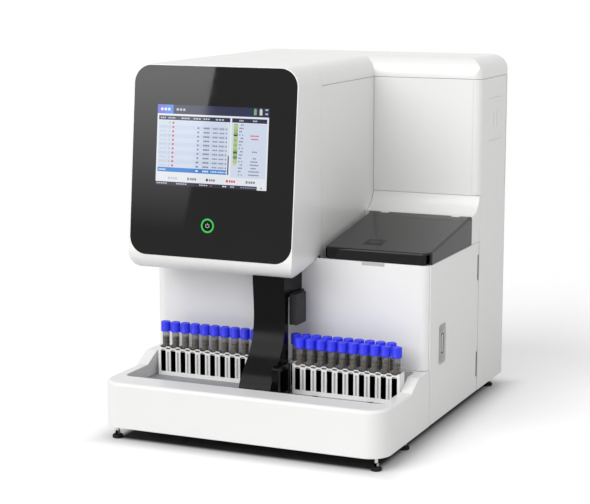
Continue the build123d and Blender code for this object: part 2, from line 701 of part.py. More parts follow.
def finger_slot(x, y0, y1):
    half = FINGER_WIDTH / 2 + SLOT_GAP
    return block(x - half, x + half, y0 - SLOT_GAP, y1 + SLOT_GAP, DECK_Z - 2 * DECK_THICK, DECK_Z + 1)


def rack_deck():
    """Steel deck of the well, with slots for the input fingers and the lane dog."""
    gap = DECK_GAP
    deck = rounded(
        -WELL_X + gap, WELL_X - gap, RIM_FRONT + gap, WELL_BACK_Y - gap, WELL_CORNER - gap,
        DECK_Z - DECK_THICK, DECK_Z,
    )
    for x in INPUT_FINGERS:
        deck -= finger_slot(x, INPUT_FINGER_Y - INPUT_BACK, INPUT_FINGER_Y + FINGER_DEPTH + INPUT_FORTH)
    start = DOG_X - LANE_TRAVEL - 2 * SLOT_GAP
    end = DOG_X + DOG_LENGTH + 2 * SLOT_GAP
    half = DOG_HALF + SLOT_GAP
    return deck - block(start, end, LANE_MID_Y - half, LANE_MID_Y + half, DECK_Z - 2 * DECK_THICK, DECK_Z + 1)


def input_pusher():
    """Two short fingers that reach up into the rack's underside, on a crosshead with two rod bores."""
    high = CROSSHEAD_Z + CROSSHEAD_HEIGHT
    ends = (INPUT_FINGERS[0] - CROSSHEAD_END, INPUT_FINGERS[1] + CROSSHEAD_END)
    body = block(*ends, INPUT_BAR_Y, INPUT_BAR_Y + CROSSHEAD_DEPTH, CROSSHEAD_Z, high)
    top = DECK_Z + RACK_LIFT + DOG_RISE
    for x in INPUT_FINGERS:
        left = x - FINGER_WIDTH / 2
        body += block(
            left, left + FINGER_WIDTH, INPUT_FINGER_Y, INPUT_FINGER_Y + FINGER_DEPTH, CROSSHEAD_Z, top,
        )
    for x in rod_places():
        body -= y_rod(ROD_RADIUS + PIN_FIT, x, 0, DEPTH, CROSSHEAD_Z + CROSSHEAD_HEIGHT / 2)
    return body


def rod_places():
    return (INPUT_FINGERS[0] - ROD_OFFSET, INPUT_FINGERS[1] + ROD_OFFSET)


def input_guide():
    """Two rods between a front and a rear bracket that hang from the tray and the deck."""
    under = DECK_Z - DECK_THICK
    front_y = INPUT_BAR_Y - INPUT_BACK - 1
    back_y = INPUT_BAR_Y + CROSSHEAD_DEPTH + INPUT_FORTH + 2
    ends = (INPUT_FINGERS[0] - CROSSHEAD_END, INPUT_FINGERS[1] + CROSSHEAD_END)
    guide = block(*ends, front_y - BRACKET, front_y, CROSSHEAD_Z, under)
    guide += block(*ends, back_y, back_y + BRACKET, CROSSHEAD_Z, under)
    for x in rod_places():
        guide += y_rod(ROD_RADIUS, x, front_y - BRACKET, back_y + BRACKET, CROSSHEAD_Z + CROSSHEAD_HEIGHT / 2)
    return guide


def output_pusher():
    """Sweep bar behind the output rack, on two rods that slide out of the cabinet."""
    ends = (SWEEP_RODS[0] - CROSSHEAD_END, SWEEP_RODS[1] + CROSSHEAD_END)
    low = DECK_Z + SWEEP_LOW
    bar = block(*ends, SWEEP_Y, SWEEP_Y + SWEEP_DEPTH, low, low + SWEEP_HEIGHT)
    for x in SWEEP_RODS:
        bar += y_rod(SWEEP_ROD, x, SWEEP_Y + 1, SWEEP_Y + SWEEP_LENGTH, SWEEP_Z)
    return bar


def sweep_guide():
    """Upright plate in the cabinet, bored for the sweep rods."""
    ends = (SWEEP_RODS[0] - CROSSHEAD_END, SWEEP_RODS[1] + CROSSHEAD_END)
    top = SWEEP_Z + 3 * SWEEP_ROD
    guide = block(*ends, SWEEP_GUIDE_Y, SWEEP_GUIDE_Y + 2 * BRACKET, FLOOR_Z, top)
    for x in SWEEP_RODS:
        guide -= y_rod(SWEEP_ROD + PIN_FIT, x, 0, DEPTH, SWEEP_Z)
    return guide


def deck_guides():
    """Guides of the input fingers and the sweep rods, and the lane rail on its posts."""
    return [input_guide(), sweep_guide(), lane_rail()]


def rack(x, y):
    """Ten-place rack: arched slots front and rear, grooved posts, and a scalloped band at the mouths."""
    body = block(0, RACK_LENGTH, 0, RACK_DEPTH, 0, RACK_HEIGHT)
    bore = extrude(RegularPolygon(TUBE_RADIUS + TUBE_FIT, TUBE_SIDES), RACK_HEIGHT)
    bore = Pos(0, RACK_DEPTH / 2, TUBE_SEAT) * bore
    half = SLOT_WIDTH / 2
    spring = RACK_HEIGHT - RACK_BAND - half
    slot = block(-half, half, -1, RACK_DEPTH + 1, RACK_RAIL, spring)
    arch = Pos(0, RACK_DEPTH / 2, spring) * Rot(90, 0, 0) * extrude(
        RegularPolygon(half, TUBE_SIDES, major_radius=False), RACK_DEPTH / 2 + 1, both=True,
    )
    scallop_z = RACK_HEIGHT - SCALLOP_DEPTH + SCALLOP_RADIUS
    scallop = Pos(0, RACK_DEPTH / 2, scallop_z) * Rot(90, 0, 0) * extrude(
        RegularPolygon(SCALLOP_RADIUS, 2 * TUBE_SIDES), RACK_DEPTH / 2 + 1, both=True,
    )
    groove_top = RACK_HEIGHT - RACK_BAND - half
    groove = block(-POST_GROOVE / 2, POST_GROOVE / 2, -1, GROOVE_DEPTH, RACK_RAIL, groove_top)
    eye = block(
        -EYE_WIDTH / 2, EYE_WIDTH / 2, -1, EYE_DEPTH,
        RACK_HEIGHT - RACK_BAND / 2 - EYE_HEIGHT, RACK_HEIGHT - RACK_BAND / 2,
    )
    eye = chamfer(eye.edges().filter_by(Axis.Y), EYE_HEIGHT / 3)
    for place in range(PLACES):
        centre = (place + 0.5) * PITCH
        body -= Pos(centre, 0, 0) * (bore + slot + arch + scallop)
        if place > 0:
            body -= Pos(place * PITCH, 0, 0) * (groove + eye)
    half = RAIL_HALF
    top = DOG_RISE + FINGER_GAP
    start = DOG_X - LANE_X - SLOT_GAP
    end = start + DOG_LENGTH + 2 * SLOT_GAP
    body -= block(start, end, RACK_DEPTH / 2 - half, RACK_DEPTH / 2 + half, -1, top)
    for centre in RACK_NOTCHES:
        reach = FINGER_WIDTH / 2 + SLOT_GAP
        body -= block(centre - reach, centre + reach, RACK_DEPTH / 2 - half, RACK_DEPTH / 2 + half, -1, top)
    return Pos(x, y, DECK_Z + RACK_LIFT) * body


def tubes(x, y):
    """Ten sample tubes with tapered bottoms."""
    seat_z = DECK_Z + RACK_LIFT + TUBE_SEAT + FINGER_GAP
    outline = RegularPolygon(TUBE_RADIUS, TUBE_SIDES)
    tube = extrude(outline, TUBE_LENGTH)
    bottom = tube.faces().sort_by(Axis.Z)[0].edges()
    tube = chamfer(bottom, TUBE_TAPER)
    made = []
    for place in range(PLACES):
        centre = Pos(x + (place + 0.5) * PITCH, y + RACK_DEPTH / 2, seat_z)
        made.append(centre * tube)
    return made


def caps(x, y):
    """Ten push-on caps, each a cup over its tube's mouth."""
    top_z = DECK_Z + RACK_LIFT + TUBE_SEAT + FINGER_GAP + TUBE_LENGTH + FINGER_GAP + CAP_TOP_WALL
    outline = RegularPolygon(CAP_RADIUS, TUBE_SIDES)
    cap = extrude(outline, CAP_HEIGHT)
    cap = chamfer(cap.faces().sort_by(Axis.Z)[-1].edges(), CAP_EDGE)
    bore = extrude(RegularPolygon(TUBE_RADIUS + CAP_FIT, TUBE_SIDES), CAP_HEIGHT - CAP_TOP_WALL)
    cap -= bore
    made = []
    for place in range(PLACES):
        centre = Pos(x + (place + 0.5) * PITCH, y + RACK_DEPTH / 2, top_z - CAP_HEIGHT)
        made.append(centre * cap)
    return made


def lane_shuttle():
    """Dog that carries a rack along the lane, on a carriage that rides the rail under the deck."""
    high = CROSSHEAD_Z + CROSSHEAD_HEIGHT
    end = DOG_X + DOG_LENGTH
    half = CROSSHEAD_DEPTH
    dog = block(
        DOG_X, end, LANE_MID_Y - DOG_HALF, LANE_MID_Y + DOG_HALF, CROSSHEAD_Z, DECK_Z + RACK_LIFT + DOG_RISE,
    )
    carriage = block(
        DOG_X - CARRIAGE_END, end + CARRIAGE_END, LANE_MID_Y - half, LANE_MID_Y + half,
        CROSSHEAD_Z - CROSSHEAD_HEIGHT / 2, high,
    )
    channel = block(-HALF, HALF, LANE_MID_Y - RAIL_HALF, LANE_MID_Y + RAIL_HALF, 0, CROSSHEAD_Z + 2)
    return dog + carriage - channel


def lane_rail():
    """Rail of the lane carriage, on two posts from the pan."""
    low = CROSSHEAD_Z - RAIL_DEPTH
    half = RAIL_HALF - FINGER_GAP
    top = CROSSHEAD_Z + 2 - FINGER_GAP
    start = DOG_X - LANE_TRAVEL - 2 * CARRIAGE_END
    end = DOG_X + DOG_LENGTH + 2 * CARRIAGE_END
    rail = block(start, end, LANE_MID_Y - half, LANE_MID_Y + half, low, top)
    for x in (start, end - RAIL_DEPTH):
        rail += block(x, x + RAIL_DEPTH, LANE_MID_Y - half, LANE_MID_Y + half, FLOOR_Z, low)
    return rail


# Sampler column ---------------------------------------------------------------------------

def column_side(inset):
    """Side outline of the column: swept front, tunnel under its rear."""
    front = Spline(
        (89 + inset, DECK_Z), (93 + inset, 118), (127 + inset, 158), (151 + inset, 190),
        (161 + inset, 225), (162 + inset, 262), (157 + inset, COLUMN_TOP_Z),
    )
    back = Polyline(
        (157 + inset, COLUMN_TOP_Z), (FACE_Y - SEAM, COLUMN_TOP_Z), (FACE_Y - SEAM, TUNNEL_Z),
        (TUNNEL_FRONT_Y, TUNNEL_Z - 20), (TUNNEL_FRONT_Y, DECK_Z), (89 + inset, DECK_Z),
    )
    return Plane.YZ * make_face(front + back)


def column_cover():
    """Glossy black column that houses the needle above the rack lane."""
    width = COLUMN_RIGHT_X - COLUMN_LEFT_X
    outer = Pos(COLUMN_LEFT_X, 0, 0) * extrude(column_side(0), width)
    inner = Pos(COLUMN_LEFT_X + COLUMN_WALL, 0, 0) * extrude(column_side(COLUMN_WALL), width - 2 * COLUMN_WALL)
    inner += block(
        COLUMN_LEFT_X + COLUMN_WALL, COLUMN_RIGHT_X - COLUMN_WALL, 175, FACE_Y, TUNNEL_Z - 25, COLUMN_TOP_Z,
    )
    lane = block(-100, 100, TUNNEL_FRONT_Y + 1, FACE_Y - 4, 0, TUNNEL_Z - 4)
    head = block(-HALF, HALF, 0, HEAD_SEAM_Y, HEAD_BOTTOM_Z, HEIGHT)
    head &= Pos(0, 0, -SEAM) * head_profile(0)
    return outer - inner - lane - head


def bay_divider():
    """Black upright beside the column that keeps the racks square, with a window through it."""
    back = INPUT_RACK_Y - 2
    plate = block(COLUMN_RIGHT_X + 2, INPUT_X - DIVIDER_GAP, DIVIDER_FRONT_Y, back, DECK_Z, DIVIDER_TOP_Z)
    plate = fillet(plate.edges().filter_by(Axis.X).sort_by(Axis.Z)[-2:], DIVIDER_FRAME / 2)
    window = block(
        0, HALF, DIVIDER_FRONT_Y + DIVIDER_FRAME, back - DIVIDER_FRAME,
        DECK_Z + DIVIDER_FRAME, DIVIDER_TOP_Z - DIVIDER_FRAME,
    )
    return plate - window


def barcode_reader():
    """Reader that looks down on the tubes as they enter the column, on a plate from the cabinet."""
    left = COLUMN_RIGHT_X + READER_GAP
    body = block(left, left + READER_WIDTH, TUNNEL_FRONT_Y + 3, READER_BACK_Y, READER_LOW_Z, READER_HIGH_Z)
    body = fillet(body.edges().filter_by(Axis.X), 2)
    tab = block(left, left + READER_WIDTH / 4, READER_BACK_Y - 4, FACE_Y, READER_LOW_Z + 14, READER_HIGH_Z)
    window = block(
        left + READER_WIDTH / 4, left + READER_WIDTH * 0.75, LANE_Y + 5, LANE_Y + RACK_DEPTH + 6,
        READER_LOW_Z - 1, READER_LOW_Z + 2,
    )
    return body + tab - window


# Lid and deck under it --------------------------------------------------------------------

def lid_wedge(inset):
    """Wedge of the lid, its top sloping up to the hinge bead."""
    rise = (LID_BACK_Z - LID_FRONT_Z) / (LID_AXIS_Y - LID_FRONT_Y)
    low = CABINET_TOP_Z + LID_REST - (1 if inset else 0)
    points = [
        (LID_FRONT_Y + inset, low), (LID_FRONT_Y + inset, LID_FRONT_Z - inset),
        (LID_AXIS_Y, LID_BACK_Z - inset), (LID_BACK_Y - inset, LID_AXIS_Z), (LID_BACK_Y - inset, low),
    ]
    wedge = side_prism(points, LID_LEFT_X + inset, HALF - inset)
    if inset:
        return wedge
    corners = wedge.edges().filter_by(Axis.Z).sort_by(Axis.Y)[0:2]
    wedge = fillet(corners, FACE_RADIUS - 2)
    top = wedge.edges().filter_by_position(Axis.Z, LID_FRONT_Z - 1, LID_BACK_Z + 1)
    top = top.filter_by(lambda edge: edge.center().Y < LID_AXIS_Y - 1)
    return fillet(top, LID_EDGE)


def lid():
    """Smoked lid: hollow wedge with a through-bored bead, notched for the fixed knuckles."""
    shell = lid_wedge(0) - lid_wedge(LID_WALL)
    shell -= block(0, WIDTH, LID_AXIS_Y, DEPTH, LID_AXIS_Z, HEIGHT)
    shell += x_rod(LID_BEAD, LID_LEFT_X, HALF, LID_AXIS_Y, LID_AXIS_Z)
    for x in knuckle_places():
        shell -= x_rod(
            NOTCH_RADIUS, x - KNUCKLE_GAP, x + KNUCKLE_WIDTH + KNUCKLE_GAP, LID_AXIS_Y, LID_AXIS_Z,
        )
    return shell - x_rod(HINGE_PIN_RADIUS + PIN_FIT, 0, WIDTH, LID_AXIS_Y, LID_AXIS_Z)


def knuckle_places():
    """Left ends of the two fixed knuckles."""
    return (LID_LEFT_X + KNUCKLE_INSET, HALF - KNUCKLE_INSET - KNUCKLE_WIDTH)


def tower_cove():
    """Plinth and hollow curve from the lid up to the tower front, with the fixed knuckles."""
    front_y = LID_BACK_Y + SEAM
    low = COVER_TOP_Z
    curve = ThreePointArc((front_y, LID_BACK_Z), (TOWER_Y - 21, LID_BACK_Z + 6), (TOWER_Y, COVE_TOP_Z))
    rest = Polyline(
        (TOWER_Y, COVE_TOP_Z), (TOWER_Y + WALL, COVE_TOP_Z), (TOWER_Y + WALL, low), (front_y, low),
        (front_y, LID_BACK_Z),
    )
    left = HEAD_RIGHT_X + SEAM
    outer = Pos(left, 0, 0) * extrude(Plane.YZ * make_face(curve + rest), HALF - left)
    hollow = block(left + WALL, HALF - WALL, front_y + WALL, TOWER_Y + WALL - 1, low - 1, LID_BACK_Z - 6)
    cove = outer - hollow - block(HALF - DOOR_FLANGE - 1, HALF, front_y - 1, TOWER_SIDE_Y, 0, CABINET_TOP_Z)
    cove += block(HALF - WALL, HALF, TOWER_Y + WALL, TOWER_SIDE_Y - SEAM, CABINET_TOP_Z, COVE_TOP_Z)
    for x in knuckle_places():
        cove += x_rod(LID_BEAD - KNUCKLE_GAP, x, x + KNUCKLE_WIDTH, LID_AXIS_Y, LID_AXIS_Z)
        bridge = LID_BEAD - KNUCKLE_GAP
        cove += block(
            x, x + KNUCKLE_WIDTH, LID_AXIS_Y, front_y + 1, LID_AXIS_Z - bridge / 2, LID_AXIS_Z + bridge,
        )
    return cove - x_rod(HINGE_PIN_RADIUS, 0, WIDTH, LID_AXIS_Y, LID_AXIS_Z)


def lid_pins():
    """Short steel pins, one through each knuckle."""
    pins = []
    for x in knuckle_places():
        start = x - LID_PIN_REACH
        end = x + KNUCKLE_WIDTH + LID_PIN_REACH
        pins.append(x_rod(HINGE_PIN_RADIUS, start, end, LID_AXIS_Y, LID_AXIS_Z))
    return pins


def upper_deck():
    """Deck under the lid, with the mouth of the strip hopper in it."""
    high = COVER_TOP_Z
    right = HALF - DOOR_FLANGE - 1
    deck = block(HEAD_RIGHT_X + SEAM, HALF - FACE_RADIUS, FACE_Y + WALL + 0.2, LID_BACK_Y, high - SHEET, high)
    deck += block(HALF - FACE_RADIUS, right, FACE_Y + FACE_RADIUS + 2, LID_BACK_Y, high - SHEET, high)
    mouth = block(HOPPER_X, HOPPER_X + HOPPER_LENGTH, HOPPER_Y, HOPPER_Y + HOPPER_WIDTH, high - 5, high + 5)
    return deck - mouth


def funnel(inset, low, high):
    """Four-sided taper of the hopper, each side moved in by an inset."""
    length = HOPPER_LENGTH - 2 * (HOPPER_GAP + inset)
    top = Plane.XY.offset(high) * Rectangle(length, HOPPER_WIDTH - 2 * (HOPPER_GAP + inset))
    foot = Plane.XY.offset(low) * Rectangle(length, THROAT - 2 * inset)
    return loft([top, foot], ruled=True)


def strip_hopper():
    """Funnel for loose test strips, open at the top and over the drum."""
    low = HOPPER_TOP - HOPPER_DEPTH
    flange = Box(HOPPER_LENGTH + 2 * HOPPER_LIP, HOPPER_WIDTH + 2 * HOPPER_LIP, SHEET)
    flange -= Box(HOPPER_LENGTH - 2 * HOPPER_WALL, HOPPER_WIDTH - 2 * HOPPER_WALL, 2 * SHEET)
    body = funnel(0, low, HOPPER_TOP) - funnel(HOPPER_WALL, low - 0.1, HOPPER_TOP + 0.1)
    body += Pos(0, 0, HOPPER_TOP - SHEET / 2) * flange
    return Pos(HOPPER_X + HOPPER_LENGTH / 2, HOPPER_Y + HOPPER_WIDTH / 2, 0) * body


def drum_axis():
    return HOPPER_Y + HOPPER_WIDTH / 2, HOPPER_TOP - HOPPER_DEPTH - DRUM_RADIUS - DRUM_CLEAR


def strip_drum():
    """Grooved drum that picks one strip a turn, on a shaft with a motor coupling."""
    y, z = drum_axis()
    end = HOPPER_X + HOPPER_LENGTH
    drum = x_rod(DRUM_RADIUS, HOPPER_X + DRUM_END, end - DRUM_END, y, z)
    for index in range(DRUM_GROOVES):
        angle = radians(index * 360 / DRUM_GROOVES)
        groove_y = y + DRUM_RADIUS * cos(angle)
        groove_z = z + DRUM_RADIUS * sin(angle)
        drum -= block(
            HOPPER_X, end, groove_y - GROOVE_HALF, groove_y + GROOVE_HALF,
            groove_z - GROOVE_HALF, groove_z + GROOVE_HALF,
        )
    reach = 2 * CHEEK + WALL
    return drum + x_rod(DRUM_SHAFT, HOPPER_X - reach, end + reach, y, z)


def drum_frame():
    """Two cheeks with bearings for the drum shaft, joined by a plate under it."""
    y, z = drum_axis()
    low = z - DRUM_RADIUS - 10
    left = HOPPER_X - 2 * CHEEK
    right = HOPPER_X + HOPPER_LENGTH + 2 * CHEEK
    frame = block(left, right, y - CHEEK_HALF, y + CHEEK_HALF, low, low + WALL)
    for x in (left, right - CHEEK):
        frame += block(x, x + CHEEK, y - CHEEK_HALF, y + CHEEK_HALF, low, COVER_TOP_Z - SHEET)
    return frame - x_rod(DRUM_SHAFT + PIN_FIT, 0, WIDTH, y, z)


# Side door --------------------------------------------------------------------------------

def hinge_spans():
    return ((HINGE_LOW_Z, HINGE_LOW_Z + HINGE_LENGTH), (HINGE_HIGH_Z, HINGE_HIGH_Z + HINGE_LENGTH))


def handle_hole(gap, depth):
    outline = RectangleRounded(HANDLE_WIDTH + 2 * gap, HANDLE_HEIGHT + 2 * gap, HANDLE_CORNER + gap)
    return Pos(HALF - depth, HANDLE_Y, HANDLE_Z) * (Plane.YZ * extrude(outline, depth))


def side_door():
    """Tall service door: flanged skin with a round hinge bead down its rear edge."""
    low = FOOT_HEIGHT + SEAM
    high = CABINET_TOP_Z - SEAM
    meet_x = HALF - WALL
    drop = sqrt(DOOR_BEAD ** 2 - (meet_x - DOOR_HINGE_X) ** 2)
    bead = ThreePointArc(
        (HALF, TOWER_Y), (DOOR_HINGE_X - DOOR_BEAD, TOWER_Y), (meet_x, TOWER_Y - drop),
    )
    sides = Polyline(
        (meet_x, TOWER_Y - drop), (meet_x, DOOR_FRONT_Y), (HALF, DOOR_FRONT_Y), (HALF, TOWER_Y),
    )
    skin = Pos(0, 0, low) * extrude(make_face(bead + sides), high - low)
    inside = DOOR_FLANGE_WALL
    flange_end = TOWER_Y - DOOR_BEAD + 1
    flange = block(HALF - DOOR_FLANGE, HALF - WALL, DOOR_FRONT_Y, flange_end, low, high)
    flange -= block(
        HALF - DOOR_FLANGE - 1, HALF - WALL, DOOR_FRONT_Y + inside, flange_end - inside,
        low + inside, high - inside,
    )
    door = skin + flange
    for start, end in hinge_spans():
        door -= block(
            DOOR_HINGE_X - DOOR_BEAD - 1, HALF + 1, TOWER_Y - DOOR_BEAD - 1, TOWER_Y + DOOR_BEAD + 1,
            start, end,
        )
        door -= z_rod(
            HINGE_PIN_RADIUS + PIN_FIT, DOOR_HINGE_X, TOWER_Y, start - PIN_REACH - 0.5, end + PIN_REACH + 0.5,
        )
    door -= handle_hole(HANDLE_FIT, WALL + 1)
    rib_end = flange_end - inside
    rib = block(HALF - 8, HALF - WALL, DOOR_FRONT_Y + inside, rib_end, DOOR_RIB_Z, DOOR_RIB_Z + WALL)
    return door + rib


def door_brackets():
    """Fixed hinge barrels with a leaf screwed behind the side panel."""
    made = []
    for start, end in hinge_spans():
        low = start + KNUCKLE_GAP
        high = end - KNUCKLE_GAP
        barrel = z_rod(DOOR_BEAD - BARREL_GAP, DOOR_HINGE_X, TOWER_Y, low, high)
        leaf_x = HALF - WALL - LEAF_THICK
        leaf = block(leaf_x, leaf_x + LEAF_THICK, TOWER_Y, TOWER_SIDE_Y + LEAF_LENGTH, low, high)
        bracket = barrel + leaf - z_rod(HINGE_PIN_RADIUS, DOOR_HINGE_X, TOWER_Y, low - 1, high + 1)
        made.append(bracket)
    return made


def door_pins():
    made = []
    for start, end in hinge_spans():
        made.append(z_rod(HINGE_PIN_RADIUS, DOOR_HINGE_X, TOWER_Y, start - PIN_REACH, end + PIN_REACH))
    return made


def handle_cup():
    """Sunk pull with a fixed grip bar standing in it."""
    outer = handle_hole(0, HANDLE_DEPTH)
    cup = outer - handle_hole(-HANDLE_WALL, HANDLE_DEPTH - HANDLE_WALL)
    foot = HALF - HANDLE_DEPTH + HANDLE_WALL
    low = HANDLE_Z - GRIP_LENGTH / 2
    high = HANDLE_Z + GRIP_LENGTH / 2
    face = HALF - GRIP_SINK
    bar = block(face - GRIP_THICK, face, HANDLE_Y - GRIP_FRONT, HANDLE_Y + GRIP_BACK, low, high)
    post = block(foot, face - GRIP_THICK, HANDLE_Y - HANDLE_WALL, HANDLE_Y + HANDLE_WALL, low, high)
    return cup + bar + post


def door_magnet():
    """Magnet on a bracket behind the front corner, against the door's flange."""
    back = FACE_Y + FACE_RADIUS + 8
    high = MAGNET_Z + MAGNET_HEIGHT
    arm_end = HALF - FACE_RADIUS - 2
    arm = block(arm_end - 14, arm_end, FACE_Y + WALL, back, MAGNET_Z, high)
    return arm + block(arm_end, HALF - DOOR_FLANGE - FINGER_GAP, back - 12, back, MAGNET_Z, high)


# Waste bin --------------------------------------------------------------------------------

def waste_bin():
    """Open-topped bin with a grip ledge inside its front wall."""
    end = BIN_X + BIN_LENGTH
    back = BIN_Y + BIN_WIDTH
    top = BIN_Z + BIN_HEIGHT
    outer = rounded(BIN_X, end, BIN_Y, back, BIN_CORNER, BIN_Z, top)
    inner = rounded(
        BIN_X + BIN_WALL, end - BIN_WALL, BIN_Y + BIN_WALL, back - BIN_WALL,
        BIN_CORNER - BIN_WALL, BIN_Z + BIN_WALL, top + 1,
    )
    grip = block(end - BIN_CORNER, end - BIN_WALL, BIN_Y + 35, back - 35, top - 14, top - 11)
    return outer - inner + grip


def bin_runners():
    """Two angle rails that the bin slides on, standing on the pan."""
    made = []
    low = BIN_Z - BIN_GAP
    for y, side in ((BIN_Y, -1), (BIN_Y + BIN_WIDTH, 1)):
        foot = sorted((y - side * RUNNER_LIP, y + side * BIN_GAP))
        wall = sorted((y + side * BIN_GAP, y + side * (BIN_GAP + SHEET)))
        rail = block(BIN_X, BIN_X + BIN_LENGTH, foot[0], foot[1], low - SHEET, low)
        rail += block(BIN_X, BIN_X + BIN_LENGTH, wall[0], wall[1], FLOOR_Z, BIN_Z + RUNNER_RISE)
        made.append(rail)
    return made


# Base, frame and modules ------------------------------------------------------------------

def foot_places():
    places = []
    for y in (FOOT_FRONT_Y, FOOT_MIDDLE_Y, FOOT_REAR_Y):
        for x in (-HALF + FOOT_INSET_X, HALF - FOOT_INSET_X):
            places.append((x, y))
    return places


def base_pan():
    """Folded steel pan that carries everything, with threaded holes for the feet."""
    inset = WALL + 0.3
    pan = tray_plan_full(inset, FOOT_HEIGHT, FLOOR_Z)
    for x, y in foot_places():
        pan += z_rod(BOSS_RADIUS, x, y, FLOOR_Z, FLOOR_Z + BOSS_HEIGHT)
        pan -= z_rod(STUD_RADIUS, x, y, FOOT_HEIGHT - 1, FLOOR_Z + BOSS_HEIGHT + 1)
    return pan


def tray_plan_full(inset, low, high):
    """Whole footprint inside the skirts."""
    front = rounded(-HALF + inset, HALF - inset, inset, DEPTH - inset, TRAY_CORNER - inset, low, high)
    rear = rounded(
        -HALF + inset, HALF - inset, DEPTH / 2, DEPTH - inset, REAR_RADIUS, low, high,
    )
    door = block(HALF - DOOR_FLANGE - 1, HALF, DOOR_FRONT_Y - 1, TOWER_SIDE_Y, 0, HEIGHT)
    return front + rear - door


def foot_studs():
    return [z_rod(STUD_RADIUS, x, y, PAD_HEIGHT, FLOOR_Z + STUD_ABOVE) for x, y in foot_places()]


def foot_pads():
    made = []
    for x, y in foot_places():
        pad = z_rod(PAD_RADIUS, x, y, 0, PAD_HEIGHT)
        pad = chamfer(pad.edges().sort_by(Axis.Z)[-1], PAD_EDGE)
        made.append(pad)
    return made


def inner_frame():
    """Sheet frame: a wall between wet side and electronics, posts, and the shelf of the head."""
    wall_x = HEAD_RIGHT_X + 36
    back_y = TOWER_Y - 20
    shelf_left = -HALF + 30
    front_y = HEAD_SEAM_Y + 5
    frame = block(wall_x, wall_x + SHEET, FACE_Y + POST, back_y, FLOOR_Z, COVER_TOP_Z - SHEET)
    for x in (-HALF + 44, HEAD_RIGHT_X - 26):
        for y in (front_y, back_y - SHEET - POST, DEPTH - 62):
            frame += block(x, x + POST, y, y + POST, FLOOR_Z, UPPER_SEAM_Z - POST)
    frame += block(shelf_left, HEAD_RIGHT_X - 10, front_y, DEPTH - 48, SHELF_Z, SHELF_TOP)
    frame += block(shelf_left, wall_x + SHEET, back_y - SHEET, back_y, FLOOR_Z, COVER_TOP_Z - 7)
    for y in (front_y + BEARING, front_y + 51):
        left = ARM_ROD_X[0] - 3 * ARM_ROD_RADIUS
        right = ARM_ROD_X[1] + 3 * ARM_ROD_RADIUS
        frame += block(left, right, y, y + BEARING, SHELF_TOP, ARM_Z + 3 * ARM_ROD_RADIUS)
    for x in ARM_ROD_X:
        frame -= y_rod(ARM_ROD_RADIUS, x, front_y, front_y + 65, ARM_Z)
    return frame


def needle_rails():
    """Two rods along Y that carry the sampling arm out over the column."""
    return [y_rod(ARM_ROD_RADIUS, x, NEEDLE_Y - 40, HEAD_SEAM_Y + 66, ARM_Z) for x in ARM_ROD_X]


def needle_carriage():
    """Carriage on the rods, with an arm and a guide bore for the needle."""
    body = block(ARM_ROD_X[0] - 10, ARM_ROD_X[1] + 10, NEEDLE_Y - 16, NEEDLE_Y + 16, ARM_Z - 10, ARM_Z + 10)
    body += block(ARM_ROD_X[1] + 10, NEEDLE_X + 8, NEEDLE_Y - 6, NEEDLE_Y + 6, ARM_Z - 8, ARM_Z + 8)
    for x in ARM_ROD_X:
        body -= y_rod(ARM_ROD_RADIUS + PIN_FIT, x, 0, DEPTH, ARM_Z)
    return body - z_rod(SLEEVE_RADIUS + PIN_FIT, NEEDLE_X, NEEDLE_Y, 0, HEIGHT)


def sample_needle():
    """Steel probe with a thicker guide sleeve and a collar on top."""
    needle = z_rod(NEEDLE_RADIUS, NEEDLE_X, NEEDLE_Y, NEEDLE_LOW_Z, ARM_Z)
    top = ARM_Z + SLEEVE_ABOVE
    needle += z_rod(SLEEVE_RADIUS, NEEDLE_X, NEEDLE_Y, ARM_Z - SLEEVE_BELOW, top)
    return needle + z_rod(2 * SLEEVE_RADIUS, NEEDLE_X, NEEDLE_Y, top - COLLAR_HEIGHT, top)


def standing(place, size, z):
    """Block with its near left corner at a place."""
    return block(place[0], place[0] + size[0], place[1], place[1] + size[1], z, z + size[2])


def optics_reader():
    """Reflectance reader on the shelf, its nose to the strip path."""
    body = standing(OPTICS_PLACE, OPTICS_SIZE, SHELF_TOP)
    body = fillet(body.edges().filter_by(Axis.Z), 5)
    nose = (OPTICS_PLACE[0] + OPTICS_NOSE[0] / 2, OPTICS_PLACE[1] - OPTICS_NOSE[1])
    return body + standing(nose, OPTICS_NOSE, SHELF_TOP + 12)


def pump_block():
    """Peristaltic pump behind the bin."""
    body = fillet(standing(PUMP_PLACE, PUMP_SIZE, FLOOR_Z).edges().filter_by(Axis.Z), 4)
    right = PUMP_PLACE[0] + PUMP_SIZE[0]
    middle = PUMP_PLACE[1] + PUMP_SIZE[1] / 2
    return body + x_rod(PUMP_HEAD, right, right + PUMP_HEAD, middle, FLOOR_Z + 40)


def power_supply():
    """Closed steel box with a raised lid."""
    lid_size = (SUPPLY_SIZE[0] - 20, SUPPLY_SIZE[1] - 20, SUPPLY_SIZE[2] + SUPPLY_LID)
    lid_place = (SUPPLY_PLACE[0] + 10, SUPPLY_PLACE[1] + 10)
    return standing(SUPPLY_PLACE, SUPPLY_SIZE, FLOOR_Z) + standing(lid_place, lid_size, FLOOR_Z)


def main_board():
    """Circuit board on four stand-offs over the shelf."""
    board = standing(BOARD_PLACE, BOARD_SIZE, SHELF_TOP + STANDOFF)
    post = (STANDOFF_SIDE, STANDOFF_SIDE, STANDOFF)
    for x in (BOARD_PLACE[0] + 4, BOARD_PLACE[0] + BOARD_SIZE[0] - 10):
        for y in (BOARD_PLACE[1] + 10, BOARD_PLACE[1] + BOARD_SIZE[1] - 16):
            board += standing((x, y), post, SHELF_TOP)
    chip = (BOARD_PLACE[0] + 26, BOARD_PLACE[1] + 40)
    return board + standing(chip, CHIP_SIZE, SHELF_TOP + STANDOFF + BOARD_SIZE[2])


